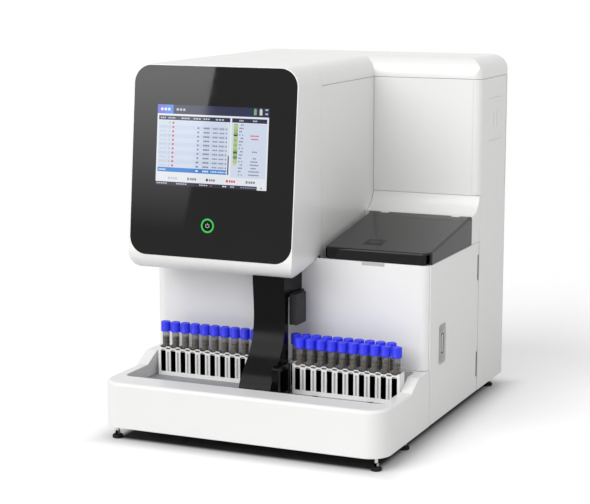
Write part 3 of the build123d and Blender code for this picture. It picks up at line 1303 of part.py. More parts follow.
def head_side_panel():
    panel = block(
        HEAD_RIGHT_X - WALL, HEAD_RIGHT_X, HEAD_SEAM_Y + SEAM, TOWER_Y + 8, COVER_TOP_Z - 6,
        UPPER_SEAM_Z - SEAM / 2,
    )
    rib_z = UPPER_SEAM_Z - POST
    rib = block(HEAD_RIGHT_X - WALL - RIB_REACH, HEAD_RIGHT_X - WALL, HEAD_SEAM_Y + 20, TOWER_Y, rib_z, rib_z + RIB)
    return panel + rib


def tower_front_panel():
    left = HEAD_RIGHT_X + SEAM
    right = HALF - TOWER_EDGE_RADIUS - TIGHT_SEAM
    panel = block(left, right, TOWER_Y, TOWER_Y + WALL, COVE_TOP_Z + SEAM, UPPER_SEAM_Z - SEAM / 2)
    rib_z = UPPER_SEAM_Z - POST
    rib = block(left + 10, right - 4, TOWER_Y + WALL, TOWER_Y + WALL + RIB_REACH, rib_z, rib_z + RIB)
    return panel + rib


# All pieces -------------------------------------------------------------------------------

os.makedirs("parts", exist_ok=True)

save("base_pan", base_pan())
save("foot_studs", *foot_studs())
save("foot_pads", *foot_pads())
save("tray_moulding", tray_moulding())
save("rack_deck", rack_deck())
save("front_panel", front_panel())
save("left_side_panel", left_side_panel())
save("right_side_panel", right_side_panel())
save("side_port_cover", side_port_cover())
save("rear_panel", rear_panel())
save("head_front_shell", head_front_shell())
save("head_side_panel", head_side_panel())
save("top_cover", top_cover())
save("tower_front_panel", tower_front_panel())
save("tower_cove", tower_cove())
save("display_glass", display_glass())
save("display_module", display_module())
save("power_ring", power_ring())
save("power_button", power_button())
save("button_switch", button_switch())
save("column_cover", column_cover())
save("bay_divider", bay_divider())
save("barcode_reader", barcode_reader())
save("lid", lid())
save("lid_hinge_pins", *lid_pins())
save("upper_deck", upper_deck())
save("strip_hopper", strip_hopper())
save("strip_drum", strip_drum())
save("drum_frame", drum_frame())
save("side_door", side_door())
save("door_handle_cup", handle_cup())
save("door_hinge_brackets", *door_brackets())
save("door_hinge_pins", *door_pins())
save("door_magnet", door_magnet())
save("waste_bin", waste_bin())
save("bin_runners", *bin_runners())
save("inner_frame", inner_frame())
save("needle_rails", *needle_rails())
save("needle_carriage", needle_carriage())
save("sample_needle", sample_needle())
save("optics_reader", optics_reader())
save("pump_block", pump_block())
save("power_supply", power_supply())
save("main_board", main_board())
save("fan_housing", fan_housing())
save("fan_rotor", fan_rotor())
save("power_inlet", power_inlet())
save("input_pusher", input_pusher())
save("output_pusher", output_pusher())
save("lane_shuttle", lane_shuttle())
save("deck_guides", *deck_guides())
for name, x, y in (
    ("input_front", INPUT_X, INPUT_RACK_Y), ("input_lane", LANE_X, LANE_Y), ("output", OUTPUT_X, LANE_Y),
):
    save(f"rack_{name}", rack(x, y))
    save(f"tubes_{name}", *tubes(x, y))
    save(f"caps_{name}", *caps(x, y))
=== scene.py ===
import json
import math

import bmesh
import bpy
from mathutils import Matrix, Vector

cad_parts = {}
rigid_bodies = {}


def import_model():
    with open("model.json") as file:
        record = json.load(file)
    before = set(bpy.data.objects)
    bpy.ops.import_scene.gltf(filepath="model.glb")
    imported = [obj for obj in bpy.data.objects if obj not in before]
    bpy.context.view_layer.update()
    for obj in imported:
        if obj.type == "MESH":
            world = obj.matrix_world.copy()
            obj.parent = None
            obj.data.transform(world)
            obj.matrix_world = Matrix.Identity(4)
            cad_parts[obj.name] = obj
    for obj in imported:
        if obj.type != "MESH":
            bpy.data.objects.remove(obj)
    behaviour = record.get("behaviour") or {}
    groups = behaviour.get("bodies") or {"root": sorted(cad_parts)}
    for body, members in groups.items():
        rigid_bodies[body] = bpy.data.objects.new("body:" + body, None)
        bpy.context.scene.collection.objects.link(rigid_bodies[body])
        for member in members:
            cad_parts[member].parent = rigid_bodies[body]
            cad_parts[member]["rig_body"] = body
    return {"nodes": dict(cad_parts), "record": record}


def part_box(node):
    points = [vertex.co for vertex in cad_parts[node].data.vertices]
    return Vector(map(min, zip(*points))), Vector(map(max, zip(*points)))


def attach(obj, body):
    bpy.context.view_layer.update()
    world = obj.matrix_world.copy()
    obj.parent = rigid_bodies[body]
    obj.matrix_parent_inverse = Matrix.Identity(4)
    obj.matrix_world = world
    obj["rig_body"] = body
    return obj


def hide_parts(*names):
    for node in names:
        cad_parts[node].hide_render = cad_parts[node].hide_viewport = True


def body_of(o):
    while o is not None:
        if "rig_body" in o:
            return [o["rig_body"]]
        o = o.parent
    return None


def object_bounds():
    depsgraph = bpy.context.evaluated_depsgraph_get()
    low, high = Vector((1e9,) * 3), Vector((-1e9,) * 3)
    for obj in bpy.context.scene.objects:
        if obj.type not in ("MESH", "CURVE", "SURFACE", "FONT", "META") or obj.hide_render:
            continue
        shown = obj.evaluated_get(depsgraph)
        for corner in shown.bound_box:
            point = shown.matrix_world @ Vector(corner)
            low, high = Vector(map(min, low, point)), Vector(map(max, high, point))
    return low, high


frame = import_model()
cad_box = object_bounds()
nodes = frame["nodes"]
scene = bpy.context.scene
scene.view_settings.view_transform = "Standard"

# Places from the part's source, in metres: y is counted from the tray's front edge there.
HALF_DEPTH = 0.3785
GLASS_Y = 0.144 - HALF_DEPTH
GLASS_Z = 0.540
GLASS_LEAN = math.radians(5.7)
SCREEN_X = -0.122
SCREEN_Z = 0.577
SCREEN_W = 0.244
SCREEN_H = 0.160
BUTTON_X = -0.125
BUTTON_Z = 0.422
RACKS = ("input_front", "input_lane", "output")
PLACES = 10

# Gap kept between a form and the faces of the CAD box that it fills.
SKIN = 0.0001
WHITE_LIGHT = (1, 1, 1, 1)


# Object and node helpers ------------------------------------------------------------------

def link(name, data):
    piece = bpy.data.objects.new(name, data)
    scene.collection.objects.link(piece)
    return piece


def point_at(piece, direction):
    """Turn a camera or lamp so that it looks along the direction."""
    piece.rotation_euler = direction.to_track_quat("-Z", "Y").to_euler()


def one_face(name, corners):
    mesh = bpy.data.meshes.new(name)
    mesh.from_pydata(corners, [], [tuple(range(len(corners)))])
    return link(name, mesh)


def new_material(name):
    """Material whose output is fed by one Principled shader."""
    material = bpy.data.materials.new(name)
    material.use_nodes = True
    tree = material.node_tree
    tree.nodes.clear()
    out = tree.nodes.new("ShaderNodeOutputMaterial")
    shader = tree.nodes.new("ShaderNodeBsdfPrincipled")
    tree.links.new(shader.outputs[0], out.inputs[0])
    return material, tree, shader, out


def feed(tree, node, *sources):
    """Join the sockets to the node's first inputs, and return its first output."""
    for source, socket in zip(sources, node.inputs):
        tree.links.new(source, socket)
    return node.outputs[0]


def calculate(tree, operation, *sources):
    node = tree.nodes.new("ShaderNodeMath")
    node.operation = operation
    return feed(tree, node, *sources)


def mix_shaders(tree, factor, first, second):
    return feed(tree, tree.nodes.new("ShaderNodeMixShader"), factor, first, second)


def map_range(tree, source, start, end, low=0.0, high=1.0, kind="SMOOTHSTEP"):
    node = tree.nodes.new("ShaderNodeMapRange")
    node.interpolation_type = kind
    for label, value in (("From Min", start), ("From Max", end), ("To Min", low), ("To Max", high)):
        node.inputs[label].default_value = value
    return feed(tree, node, source)


def object_axes(tree):
    """Outputs with the object's own x, y and z."""
    coords = tree.nodes.new("ShaderNodeTexCoord")
    split = tree.nodes.new("ShaderNodeSeparateXYZ")
    feed(tree, split, coords.outputs["Object"])
    return split.outputs


def noise(tree, scale, detail=3.0):
    coords = tree.nodes.new("ShaderNodeTexCoord")
    texture = tree.nodes.new("ShaderNodeTexNoise")
    texture.inputs["Scale"].default_value = scale
    texture.inputs["Detail"].default_value = detail
    tree.links.new(coords.outputs["Object"], texture.inputs["Vector"])
    return texture.outputs["Fac"]


def ramp(tree, source, low, high, start=0.3, end=0.7):
    node = tree.nodes.new("ShaderNodeValToRGB")
    for element, position, colour in zip(node.color_ramp.elements, (start, end), (low, high)):
        element.position = position
        element.color = colour
    return feed(tree, node, source)


def grey(value):
    return (value, value, value, 1.0)


def shade(colour, factor):
    return (colour[0] * factor, colour[1] * factor, colour[2] * factor, 1.0)


# Camera -----------------------------------------------------------------------------------

CAMERA_AT = (1.36286, -3.21013, 0.95048)
CAMERA_TARGET = (-0.00934, -0.0785, 0.3507)

camera_data = bpy.data.cameras.new("camera")
camera_data.lens = 103.5
camera_data.sensor_width = 36.0
camera_data.clip_end = 60.0
camera = link("camera", camera_data)
camera.location = CAMERA_AT
point_at(camera, Vector(CAMERA_TARGET) - camera.location)
scene.camera = camera


# Materials --------------------------------------------------------------------------------

GRAIN_DEPTH = 0.0002
GRAIN_SCALE = 900.0
TONE_SCALE = 6.0
ROUGH_SCALE = 40.0
COAT_ROUGH = 0.08


def finish_surface(tree, shader, strength, edge):
    """Fine grain as bump, over edges softened by a small radius."""
    bump = tree.nodes.new("ShaderNodeBump")
    bump.inputs["Strength"].default_value = strength
    bump.inputs["Distance"].default_value = GRAIN_DEPTH
    tree.links.new(noise(tree, GRAIN_SCALE, 2.0), bump.inputs["Height"])
    if edge > 0:
        bevel = tree.nodes.new("ShaderNodeBevel")
        bevel.samples = 4
        bevel.inputs["Radius"].default_value = edge
        tree.links.new(bevel.outputs[0], bump.inputs["Normal"])
    tree.links.new(bump.outputs[0], shader.inputs["Normal"])


def plastic(name, colour, rough=0.3, spread=0.05, tone=0.03, coat=0.0, specular=0.5,
            strength=0.05, edge=0.0012, metallic=0.0):
    """Plastic, rubber or metal: its tone varies by `tone`, and its roughness by `spread`."""
    material, tree, shader, _ = new_material(name)
    wide = noise(tree, TONE_SCALE)
    tones = ramp(tree, wide, shade(colour, 1 - tone), shade(colour, 1 + tone))
    tree.links.new(tones, shader.inputs["Base Color"])
    fine = noise(tree, ROUGH_SCALE, 4.0)
    tree.links.new(ramp(tree, fine, grey(rough - spread), grey(rough + spread)), shader.inputs["Roughness"])
    shader.inputs["Coat Weight"].default_value = coat
    shader.inputs["Coat Roughness"].default_value = COAT_ROUGH
    shader.inputs["Specular IOR Level"].default_value = specular
    shader.inputs["Metallic"].default_value = metallic
    finish_surface(tree, shader, strength, edge)
    return material


# Casing
WHITE = plastic("white_casing", (0.80, 0.797, 0.790), rough=0.34, coat=0.2, tone=0.006, strength=0.012,
                edge=0.0014)
GLASS = plastic("black_glass", (0.003, 0.003, 0.003), rough=0.03, spread=0.01, tone=0.2, specular=0.24,
                strength=0.0, edge=0.0008)
BLACK = plastic("black_plastic", (0.003, 0.003, 0.003), rough=0.18, spread=0.04, tone=0.15, specular=0.10,
                strength=0.02, edge=0.0014)
SMOKED = plastic("smoked_plastic", (0.004, 0.004, 0.004), rough=0.10, spread=0.03, tone=0.1, specular=0.28,
                 strength=0.01, edge=0.0016)
DARK = plastic("dark_plastic", (0.020, 0.020, 0.020), rough=0.45, tone=0.1, specular=0.25, strength=0.15,
               edge=0.0010)
HANDLE = plastic("grey_handle", (0.72, 0.72, 0.715), rough=0.4, tone=0.03, edge=0.0012)
RUBBER = plastic("foot_rubber", (0.012, 0.012, 0.012), rough=0.7, tone=0.2, strength=0.4, edge=0.0010)
# Tray and mechanism
DECK = plastic("grey_deck", (0.30, 0.31, 0.32), rough=0.5, tone=0.05, strength=0.2, edge=0.0008)
STEEL = plastic("steel_sheet", (0.55, 0.56, 0.57), rough=0.38, tone=0.06, metallic=0.9, edge=0.0006,
                strength=0.1)
TURNED = plastic("turned_steel", (0.66, 0.66, 0.67), rough=0.22, tone=0.05, metallic=1.0, edge=0.0004)
BOARD = plastic("board_green", (0.02, 0.16, 0.07), rough=0.45, tone=0.2, edge=0.0004)
RING = plastic("green_light", (0.02, 0.55, 0.06), rough=0.3, tone=0.05, edge=0.0003)
# Racks and caps
RACK = plastic("white_rack", (0.82, 0.82, 0.81), rough=0.40, tone=0.02, strength=0.02, edge=0.0004)
CAP = plastic("blue_cap", (0.028, 0.036, 0.78), rough=0.42, tone=0.06, specular=0.35, edge=0.0)

BY_SLOT = {
    "white_casing": WHITE, "white_painted_steel": WHITE, "grey_deck": DECK, "grey_handle": HANDLE,
    "black_glass": GLASS, "screen": DARK, "green_light": RING, "black_plastic": BLACK,
    "dark_plastic": DARK, "smoked_plastic": SMOKED, "steel_sheet": STEEL, "zinc_steel": TURNED,
    "foot_rubber": RUBBER, "white_rack": RACK, "tube_plastic": DARK, "blue_cap": CAP, "board_green": BOARD,
}
for entry in frame["record"]["subparts"]:
    mesh = nodes[entry["node"]].data
    mesh.materials.clear()
    mesh.materials.append(BY_SLOT[entry["material_slot"]])
# The hinge brackets take the dark plastic, unlike the rest of their slot: painted shade for the dark lines at
# the door's hinge edge.
nodes["door_hinge_brackets"].data.materials[0] = DARK


# Floor ------------------------------------------------------------------------------------

FLOOR_HALF = 12
# For the camera alone, the floor is lifted towards white outside the object's outline.
FLOOR_LIFT = 0.22
FADE = 0.06
# Painted shade: the floor's colour is dark under the object, and ends this far inside its outline, over a soft
# edge.
PAINTED_SHADE_INSET = 0.024
PAINTED_SHADE_SOFT = 0.010
# Sockets of a Mix node that mixes colours.
MIX_FACTOR, MIX_A, MIX_B, MIX_RESULT = 0, 6, 7, 2


def floor_material():
    """Pale floor that keeps the object's shadow, with painted shade between the feet: its colour turns dark
    grey under the object.
    """
    material, tree, shader, out = new_material("floor")
    shader.inputs["Roughness"].default_value = 0.9
    shader.inputs["Specular IOR Level"].default_value = 0.1
    axes = object_axes(tree)
    lifts = []
    outside = []
    for axis in range(2):
        half = cad_box[1][axis]
        edge = half - PAINTED_SHADE_INSET
        distance = calculate(tree, "ABSOLUTE", axes[axis])
        lifts.append(map_range(tree, distance, half - FADE / 3, half + FADE, 0.0, FLOOR_LIFT))
        outside.append(map_range(tree, distance, edge - PAINTED_SHADE_SOFT, edge + PAINTED_SHADE_SOFT))
    tones = tree.nodes.new("ShaderNodeMix")
    tones.data_type = "RGBA"
    tree.links.new(calculate(tree, "MAXIMUM", *outside), tones.inputs[MIX_FACTOR])
    # Painted shade under the object: dark grey with a slight random tone, against the pale floor.
    tree.links.new(ramp(tree, noise(tree, 60.0), grey(0.045), grey(0.055)), tones.inputs[MIX_A])
    tree.links.new(ramp(tree, noise(tree, 2.0), grey(0.86), grey(0.88)), tones.inputs[MIX_B])
    tree.links.new(tones.outputs[MIX_RESULT], shader.inputs["Base Color"])
    lift = tree.nodes.new("ShaderNodeEmission")
    tree.links.new(calculate(tree, "MAXIMUM", *lifts), lift.inputs["Strength"])
    off = tree.nodes.new("ShaderNodeEmission")
    off.inputs["Strength"].default_value = 0.0
    seen = tree.nodes.new("ShaderNodeLightPath").outputs["Is Camera Ray"]
    glow = mix_shaders(tree, seen, off.outputs[0], lift.outputs[0])
    total = feed(tree, tree.nodes.new("ShaderNodeAddShader"), shader.outputs[0], glow)
    tree.links.new(total, out.inputs[0])
    return material


floor = one_face("floor", [
    (-FLOOR_HALF, -FLOOR_HALF, 0), (FLOOR_HALF, -FLOOR_HALF, 0),
    (FLOOR_HALF, FLOOR_HALF, 0), (-FLOOR_HALF, FLOOR_HALF, 0),
])
floor.data.materials.append(floor_material())


# Light ------------------------------------------------------------------------------------

WORLD_LIGHT = 0.55
WORLD_WHITE = 1.0
SUN_DIRECTION = (0.35, 0.72, -0.60)
SIDE_BOX_AT = (1.00, -0.75, 1.20)
SIDE_BOX_TARGET = (0.20, 0.25, 0.55)


def build_world():
    """Soft light on surfaces, and plain white for the camera, reflections and clear parts."""
    world = bpy.data.worlds.new("world")
    scene.world = world
    world.use_nodes = True
    tree = world.node_tree
    tree.nodes.clear()
    out = tree.nodes.new("ShaderNodeOutputWorld")
    backgrounds = []
    for strength in (WORLD_LIGHT, WORLD_WHITE):
        background = tree.nodes.new("ShaderNodeBackground")
        background.inputs["Color"].default_value = WHITE_LIGHT
        background.inputs["Strength"].default_value = strength
        backgrounds.append(background.outputs[0])
    path = tree.nodes.new("ShaderNodeLightPath")
    bounced = calculate(tree, "MAXIMUM", path.outputs["Is Glossy Ray"], path.outputs["Is Transmission Ray"])
    seen = calculate(tree, "MAXIMUM", path.outputs["Is Camera Ray"], bounced)
    tree.links.new(mix_shaders(tree, seen, *backgrounds), out.inputs[0])


build_world()

sun_data = bpy.data.lights.new("key", "SUN")
sun_data.energy = 1.8
sun_data.angle = math.radians(50)
point_at(link("key", sun_data), Vector(SUN_DIRECTION))

# Soft box at the right that brightens the tower's front.
box_data = bpy.data.lights.new("side_box", "AREA")
box_data.energy = 2.6
box_data.size = 0.9
side_box = link("side_box", box_data)
side_box.location = SIDE_BOX_AT
point_at(side_box, Vector(SIDE_BOX_TARGET) - side_box.location)


# Card -------------------------------------------------------------------------------------

# Its reflection is the pale band at the left of the glass; its right edge is the diagonal seen there.
CARD_TOP = (-1.155, -2.405, 1.40)
CARD_FOOT = (-1.365, -2.465, 0.10)
CARD_LEFT = -2.60


def card_material():
    """Light that grows with height on the card."""
    material, tree, _, out = new_material("card")
    glow = tree.nodes.new("ShaderNodeEmission")
    strength = map_range(tree, object_axes(tree)[2], 0.45, 0.98, 1.0, 7.5, "LINEAR")
    tree.links.new(strength, glow.inputs["Strength"])
    tree.links.new(glow.outputs[0], out.inputs[0])
    return material


card = one_face("card", [(CARD_LEFT, *CARD_FOOT[1:]), CARD_FOOT, CARD_TOP, (CARD_LEFT, *CARD_TOP[1:])])
card.data.materials.append(card_material())
for ray in ("camera", "diffuse", "transmission", "shadow", "volume_scatter"):
    setattr(card, "visible_" + ray, False)


# Mesh helpers -----------------------------------------------------------------------------

def glass_matrix(x, z):
    """Frame on the leaning glass: x right, y up the glass, z out to the user."""
    y = GLASS_Y + (z - GLASS_Z) * math.tan(GLASS_LEAN)
    return Matrix.Translation((x, y, z)) @ Matrix.Rotation(math.radians(90) - GLASS_LEAN, 4, "X")


def turned(bm, profile, centre, index, sides=24, close=True):
    """Turned form: (radius, height) pairs from the bottom up, round an upright axis."""
    rings = []
    for radius, height in profile:
        ring = []
        for step in range(sides):
            angle = 2 * math.pi * step / sides
            ring.append(bm.verts.new((
                centre[0] + radius * math.cos(angle), centre[1] + radius * math.sin(angle), centre[2] + height,
            )))
        rings.append(ring)
    faces = []
    for low, high in zip(rings, rings[1:]):
        for step in range(sides):
            after = (step + 1) % sides
            faces.append(bm.faces.new((low[step], low[after], high[after], high[step])))
    if close:
        faces.append(bm.faces.new(list(reversed(rings[0]))))
        faces.append(bm.faces.new(rings[-1]))
    for face in faces:
        face.material_index = index


def to_object(name, bm, materials, body):
    """Finish the mesh with smooth shading and sharp edges, and ride it on its body."""
    mesh = bpy.data.meshes.new(name)
    bm.normal_update()
    bm.to_mesh(mesh)
    bm.free()
    for item in materials:
        mesh.materials.append(item)
    for polygon in mesh.polygons:
        polygon.use_smooth = True
    mesh.set_sharp_from_angle(angle=math.radians(35))
    piece = link(name, mesh)
    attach(piece, body)
    return piece


# Caps and tubes ---------------------------------------------------------------------------

TUBE_WALL = 0.0009
# Rounded bottoms, as shares of the radius and heights.
TUBE_END = ((0.15, 0.0002), (0.58, 0.0012), (0.87, 0.0036), (0.98, 0.0070))
FLUID_END = ((0.15, 0.0012), (0.60, 0.0022), (0.90, 0.0044), (1.00, 0.0076))
FLUID_LEVEL = 0.0600
LEVEL_STEP = 0.0012
TOP_LAYER = 0.0150
LAYER_GAP = 0.0002
RING_HEIGHTS = (0.0042, 0.0118)
RING_H = 0.0010
RING_PROUD = 0.00005
WALL, FLUID, RINGS, LAYER = range(4)


def tube_material():
    """Clear plastic over a dim sample: the wall darkens towards its edges."""
    material, tree, shader, out = new_material("tube_plastic")
    tone = ramp(tree, noise(tree, 30.0), (0.20, 0.185, 0.165, 1), (0.27, 0.25, 0.225, 1))
    tree.links.new(tone, shader.inputs["Base Color"])
    shader.inputs["Roughness"].default_value = 0.12
    shader.inputs["Coat Weight"].default_value = 0.6
    shader.inputs["Coat Roughness"].default_value = 0.05
    clear = tree.nodes.new("ShaderNodeBsdfTransparent")
    clear.inputs["Color"].default_value = (0.92, 0.92, 0.91, 1)
    facing = tree.nodes.new("ShaderNodeLayerWeight")
    facing.inputs["Blend"].default_value = 0.35
    amount = ramp(tree, facing.outputs["Facing"], grey(0.42), grey(0.95), 0.1, 0.8)
    tree.links.new(mix_shaders(tree, amount, clear.outputs[0], shader.outputs[0]), out.inputs[0])
    return material


TUBE = tube_material()
SAMPLE = plastic("sample_fluid", (0.060, 0.058, 0.055), rough=0.25, tone=0.25, edge=0.0)
SERUM = plastic("sample_top", (0.075, 0.066, 0.055), rough=0.25, tone=0.25, edge=0.0)
LABEL = plastic("tube_rings", (0.012, 0.012, 0.012), rough=0.4, tone=0.2, edge=0.0)


def row_places(node):
    """Radius, height and the ten centres of a row of turned pieces, from the node's box."""
    low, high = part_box(node)
    radius = (high[1] - low[1]) / 2
    step = (high[0] - low[0] - 2 * radius) / (PLACES - 1)
    middle = (high[1] + low[1]) / 2
    centres = [(low[0] + radius + place * step, middle, low[2]) for place in range(PLACES)]
    return radius, high[2] - low[2], centres


def rounded(shares, radius, top):
    return [(share * radius, height) for share, height in shares] + [(radius, top)]


def build_tubes(name):
    """Tubes with their sample, its clearer top layer and two printed rings."""
    radius, length, centres = row_places("tubes_" + name)
    wall_r = radius - SKIN
    fluid_r = radius - TUBE_WALL
    ring_r = wall_r + RING_PROUD
    bm = bmesh.new()
    for place, centre in enumerate(centres):
        turned(bm, rounded(TUBE_END, wall_r, length - 0.0002), centre, WALL)
        level = FLUID_LEVEL + LEVEL_STEP * (place % 3)
        turned(bm, rounded(FLUID_END, fluid_r, level), centre, FLUID)
        turned(bm, [(fluid_r, level + LAYER_GAP), (fluid_r, level + TOP_LAYER)], centre, LAYER)
        for height in RING_HEIGHTS:
            foot = level + height
            turned(bm, [(ring_r, foot), (ring_r, foot + RING_H)], centre, RINGS, close=False)
    materials = (TUBE, SAMPLE, LABEL, SERUM)
    piece = to_object("sample_tubes_" + name, bm, materials, body_of(nodes["tubes_" + name])[0])
    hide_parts("tubes_" + name)


def build_caps(name):
    """Push-on caps: a skirt at the foot, a barrel and a shallow dish in the top."""
    radius, height, centres = row_places("caps_" + name)
    skirt = radius - SKIN
    barrel = radius - 0.0004
    profile = [
        (skirt - 0.0012, 0.0003), (skirt - 0.0003, 0.0003), (skirt, 0.0010), (skirt, 0.0028),
        (barrel, 0.0034), (barrel, height - 0.0026), (barrel - 0.0003, height - 0.0012),
        (barrel - 0.0011, height - 0.0004), (barrel - 0.0022, height - 0.0001),
        (barrel - 0.0030, height - 0.0007), (0.0010, height - 0.0008),
    ]
    bm = bmesh.new()
    for centre in centres:
        turned(bm, profile, centre, 0, 32)
    piece = to_object("tube_caps_" + name, bm, (CAP,), body_of(nodes["caps_" + name])[0])
    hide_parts("caps_" + name)


for rack_name in RACKS:
    build_tubes(rack_name)
    build_caps(rack_name)


# Plates -----------------------------------------------------------------------------------

def arc_points(cx, cz, rx, rz, start, end, steps):
    points = []
    for step in range(steps + 1):
        angle = math.radians(start + (end - start) * step / steps)
        points.append((cx + rx * math.cos(angle), cz + rz * math.sin(angle)))
    return points


def box_outline(x0, x1, z0, z1, corner=0.0):
    """Rectangle, with rounded corners where a radius is given."""
    if corner == 0.0:
        return [(x0, z0), (x1, z0), (x1, z1), (x0, z1)]
    left, right, low, high = x0 + corner, x1 - corner, z0 + corner, z1 - corner
    outline = []
    for cx, cz, start in ((right, low, -90), (right, high, 0), (left, high, 90), (left, low, 180)):
        outline += arc_points(cx, cz, corner, corner, start, start + 90, 4)
    return outline


def plate_mesh(outlines, thick, bevel):
    """Flat plate with holes, from closed outlines; its middle lies in the plane z = 0."""
    curve = bpy.data.curves.new("plate", "CURVE")
    curve.dimensions = "2D"
    curve.fill_mode = "BOTH"
    curve.extrude = thick / 2 - bevel
    curve.bevel_depth = bevel
    curve.bevel_resolution = 1
    curve.offset = -bevel
    for outline in outlines:
        spline = curve.splines.new("POLY")
        spline.points.add(len(outline) - 1)
        for point, (x, y) in zip(spline.points, outline):
            point.co = (x, y, 0, 1)
        spline.use_cyclic_u = True
    holder = link("plate", curve)
    bpy.context.view_layer.update()
    mesh = bpy.data.meshes.new_from_object(holder.evaluated_get(bpy.context.evaluated_depsgraph_get()))
    bpy.data.objects.remove(holder)
    bpy.data.curves.remove(curve)
    return mesh


def add_plate(bm, outlines, thick, bevel, matrix, index):
    mesh = plate_mesh(outlines, thick, bevel)
    mesh.transform(matrix)
    before = len(bm.faces)
    bm.from_mesh(mesh)
    bm.faces.ensure_lookup_table()
    for face in bm.faces[before:]:
        face.material_index = index
    bpy.data.meshes.remove(mesh)


def upright(x, y, z):
    """Frame of a plate that stands, seen from the front."""
    return Matrix.Translation((x, y, z)) @ Matrix.Rotation(math.radians(90), 4, "X")


def sideways(x, y, z, turn):
    """Frame of a plate that stands, seen from a side."""
    return Matrix.Translation((x, y, z)) @ Matrix.Rotation(math.radians(turn), 4, "Z") @ upright(0, 0, 0)


# Racks ------------------------------------------------------------------------------------

# Painted shade inside the racks: grey for the recesses, and dark for the shadow behind the eyes and slots.
PAINTED_RACK_SHADE = plastic("rack_painted_shade", (0.42, 0.42, 0.415), rough=0.5, tone=0.05, edge=0.0003)
PAINTED_RACK_DARK = plastic("rack_painted_dark", (0.13, 0.13, 0.13), rough=0.6, tone=0.2, edge=0.0)
# Walls, and the solid bands below and above the slots.
PLATE = 0.0016
RAIL = 0.0085
BAND = 0.0100
EDGE = 0.0003
# Slot at each place, with an arched top, and the scallop over it in the rim.
SLOT_W = 0.0112
SLOT_ARCH = 0.0042
DIP = 0.0034
DIP_SHARE = 0.32
# Groove and eye in each post between two slots.
GROOVE_W = 0.0040
GROOVE_CORNER = 0.0012
EYE_W = 0.0120
EYE_H = 0.0042
EYE_LIFT = 0.0008
# Hole of each tube in the web, and the floor of the rack.
HOLE_R = 0.0079
FLOOR_Z = 0.003
INSET = 0.0006
OUTER, PAINTED_SHADE, PAINTED_DARK = range(3)


def rack_outlines(length, height, step):
    """Outlines of a rack's long wall: the rim with its scallops, the slots, the grooves and eyes."""
    top = height - BAND
    crown = [(0, 0), (length, 0), (length, height)]
    for place in reversed(range(PLACES)):
        crown += arc_points((place + 0.5) * step, height, DIP_SHARE * step, DIP, 0, -180, 8)
    crown.append((0, height))
    slots = []
    for place in range(PLACES):
        centre = (place + 0.5) * step
        foot = [(centre - SLOT_W / 2, RAIL), (centre + SLOT_W / 2, RAIL), (centre + SLOT_W / 2, top)]
        slots.append(foot + arc_points(centre, top, SLOT_W / 2, SLOT_ARCH, 0, 180, 8)[1:])
    details = []
    for place in range(1, PLACES):
        post = place * step
        left, right = post - GROOVE_W / 2, post + GROOVE_W / 2
        details.append(box_outline(left, right, RAIL, top - 0.0010, GROOVE_CORNER))
        details.append(arc_points(post, height - BAND / 2 + EYE_LIFT, EYE_W / 2, EYE_H / 2, 0, 330, 11))
    return crown, slots, details


def build_rack(name):
    """Rack of thin plates: two slotted walls, two ends, a holed web and a floor, with plates of painted shade
    behind the walls.
    """
    low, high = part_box("rack_" + name)
    length, depth, height = (high[axis] - low[axis] for axis in range(3))
    step = length / PLACES
    crown, slots, details = rack_outlines(length, height, step)
    bm = bmesh.new()
    x, y, z = low
    add_plate(bm, [crown] + slots + details, PLATE, EDGE, upright(x, y + PLATE / 2, z), OUTER)
    add_plate(bm, [crown] + slots, PLATE, EDGE, upright(x, high[1] - PLATE / 2, z), OUTER)

    # Painted shade behind the front wall: a grey plate seen in the grooves, and a dark strip seen in the eyes.
    # Before the back wall: a dark sheet of painted shade, seen through the slots.
    left, right = 0.001, length - 0.001
    back = [box_outline(left, right, 0.001, height - BAND - 0.0005)] + slots
    add_plate(bm, back, PLATE, 0.0, upright(x, y + 1.5 * PLATE, z), PAINTED_SHADE)
    dark = box_outline(left, right, height - BAND + INSET, height - DIP - 0.0004)
    add_plate(bm, [dark], PLATE / 2, 0.0, upright(x, y + 1.4 * PLATE, z), PAINTED_DARK)
    rear_painted_dark = box_outline(left, right, RAIL, height - BAND + 0.004)
    add_plate(bm, [rear_painted_dark], PLATE / 2, 0.0, upright(x, high[1] - 1.6 * PLATE, z), PAINTED_DARK)

    # Web with the tubes' holes under the rim, floor and ends; the web and floor take the grey of the painted
    # shade.
    level = box_outline(INSET, length - INSET, PLATE, depth - PLATE)
    holes = [arc_points((place + 0.5) * step, depth / 2, HOLE_R, HOLE_R, 0, 345, 23) for place in range(PLACES)]
    add_plate(bm, [level] + holes, PLATE, 0.0, Matrix.Translation((x, y, z + height - BAND)), PAINTED_SHADE)
    add_plate(bm, [level], PLATE, 0.0, Matrix.Translation((x, y, z + FLOOR_Z)), PAINTED_SHADE)
    end = box_outline(-depth + 0.0002, -0.0002, 0.0002, height - 0.0002, 0.0012)
    for side in (x + PLATE / 2, high[0] - PLATE / 2):
        add_plate(bm, [end], PLATE, EDGE, sideways(side, y, z, -90), OUTER)
    materials = (RACK, PAINTED_RACK_SHADE, PAINTED_RACK_DARK)
    piece = to_object("rack_form_" + name, bm, materials, body_of(nodes["rack_" + name])[0])
    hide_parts("rack_" + name)


for rack_name in RACKS:
    build_rack(rack_name)


# Feet -------------------------------------------------------------------------------------

def foot_centres():
    """Centre and radius of each pad, read from the loose parts of its node."""
    bm = bmesh.new()
    bm.from_mesh(nodes["foot_pads"].data)
    left = set(bm.verts)
    found = []
    while left:
        seed = left.pop()
        group = [seed]
        queue = [seed]
        while queue:
            for edge in queue.pop().link_edges:
                for vert in edge.verts:
                    if vert in left:
                        left.remove(vert)
                        group.append(vert)
                        queue.append(vert)
        xs = [vert.co.x for vert in group]
        ys = [vert.co.y for vert in group]
        found.append(((min(xs) + max(xs)) / 2, (min(ys) + max(ys)) / 2, (max(xs) - min(xs)) / 2))
    bm.free()
    return sorted(found)


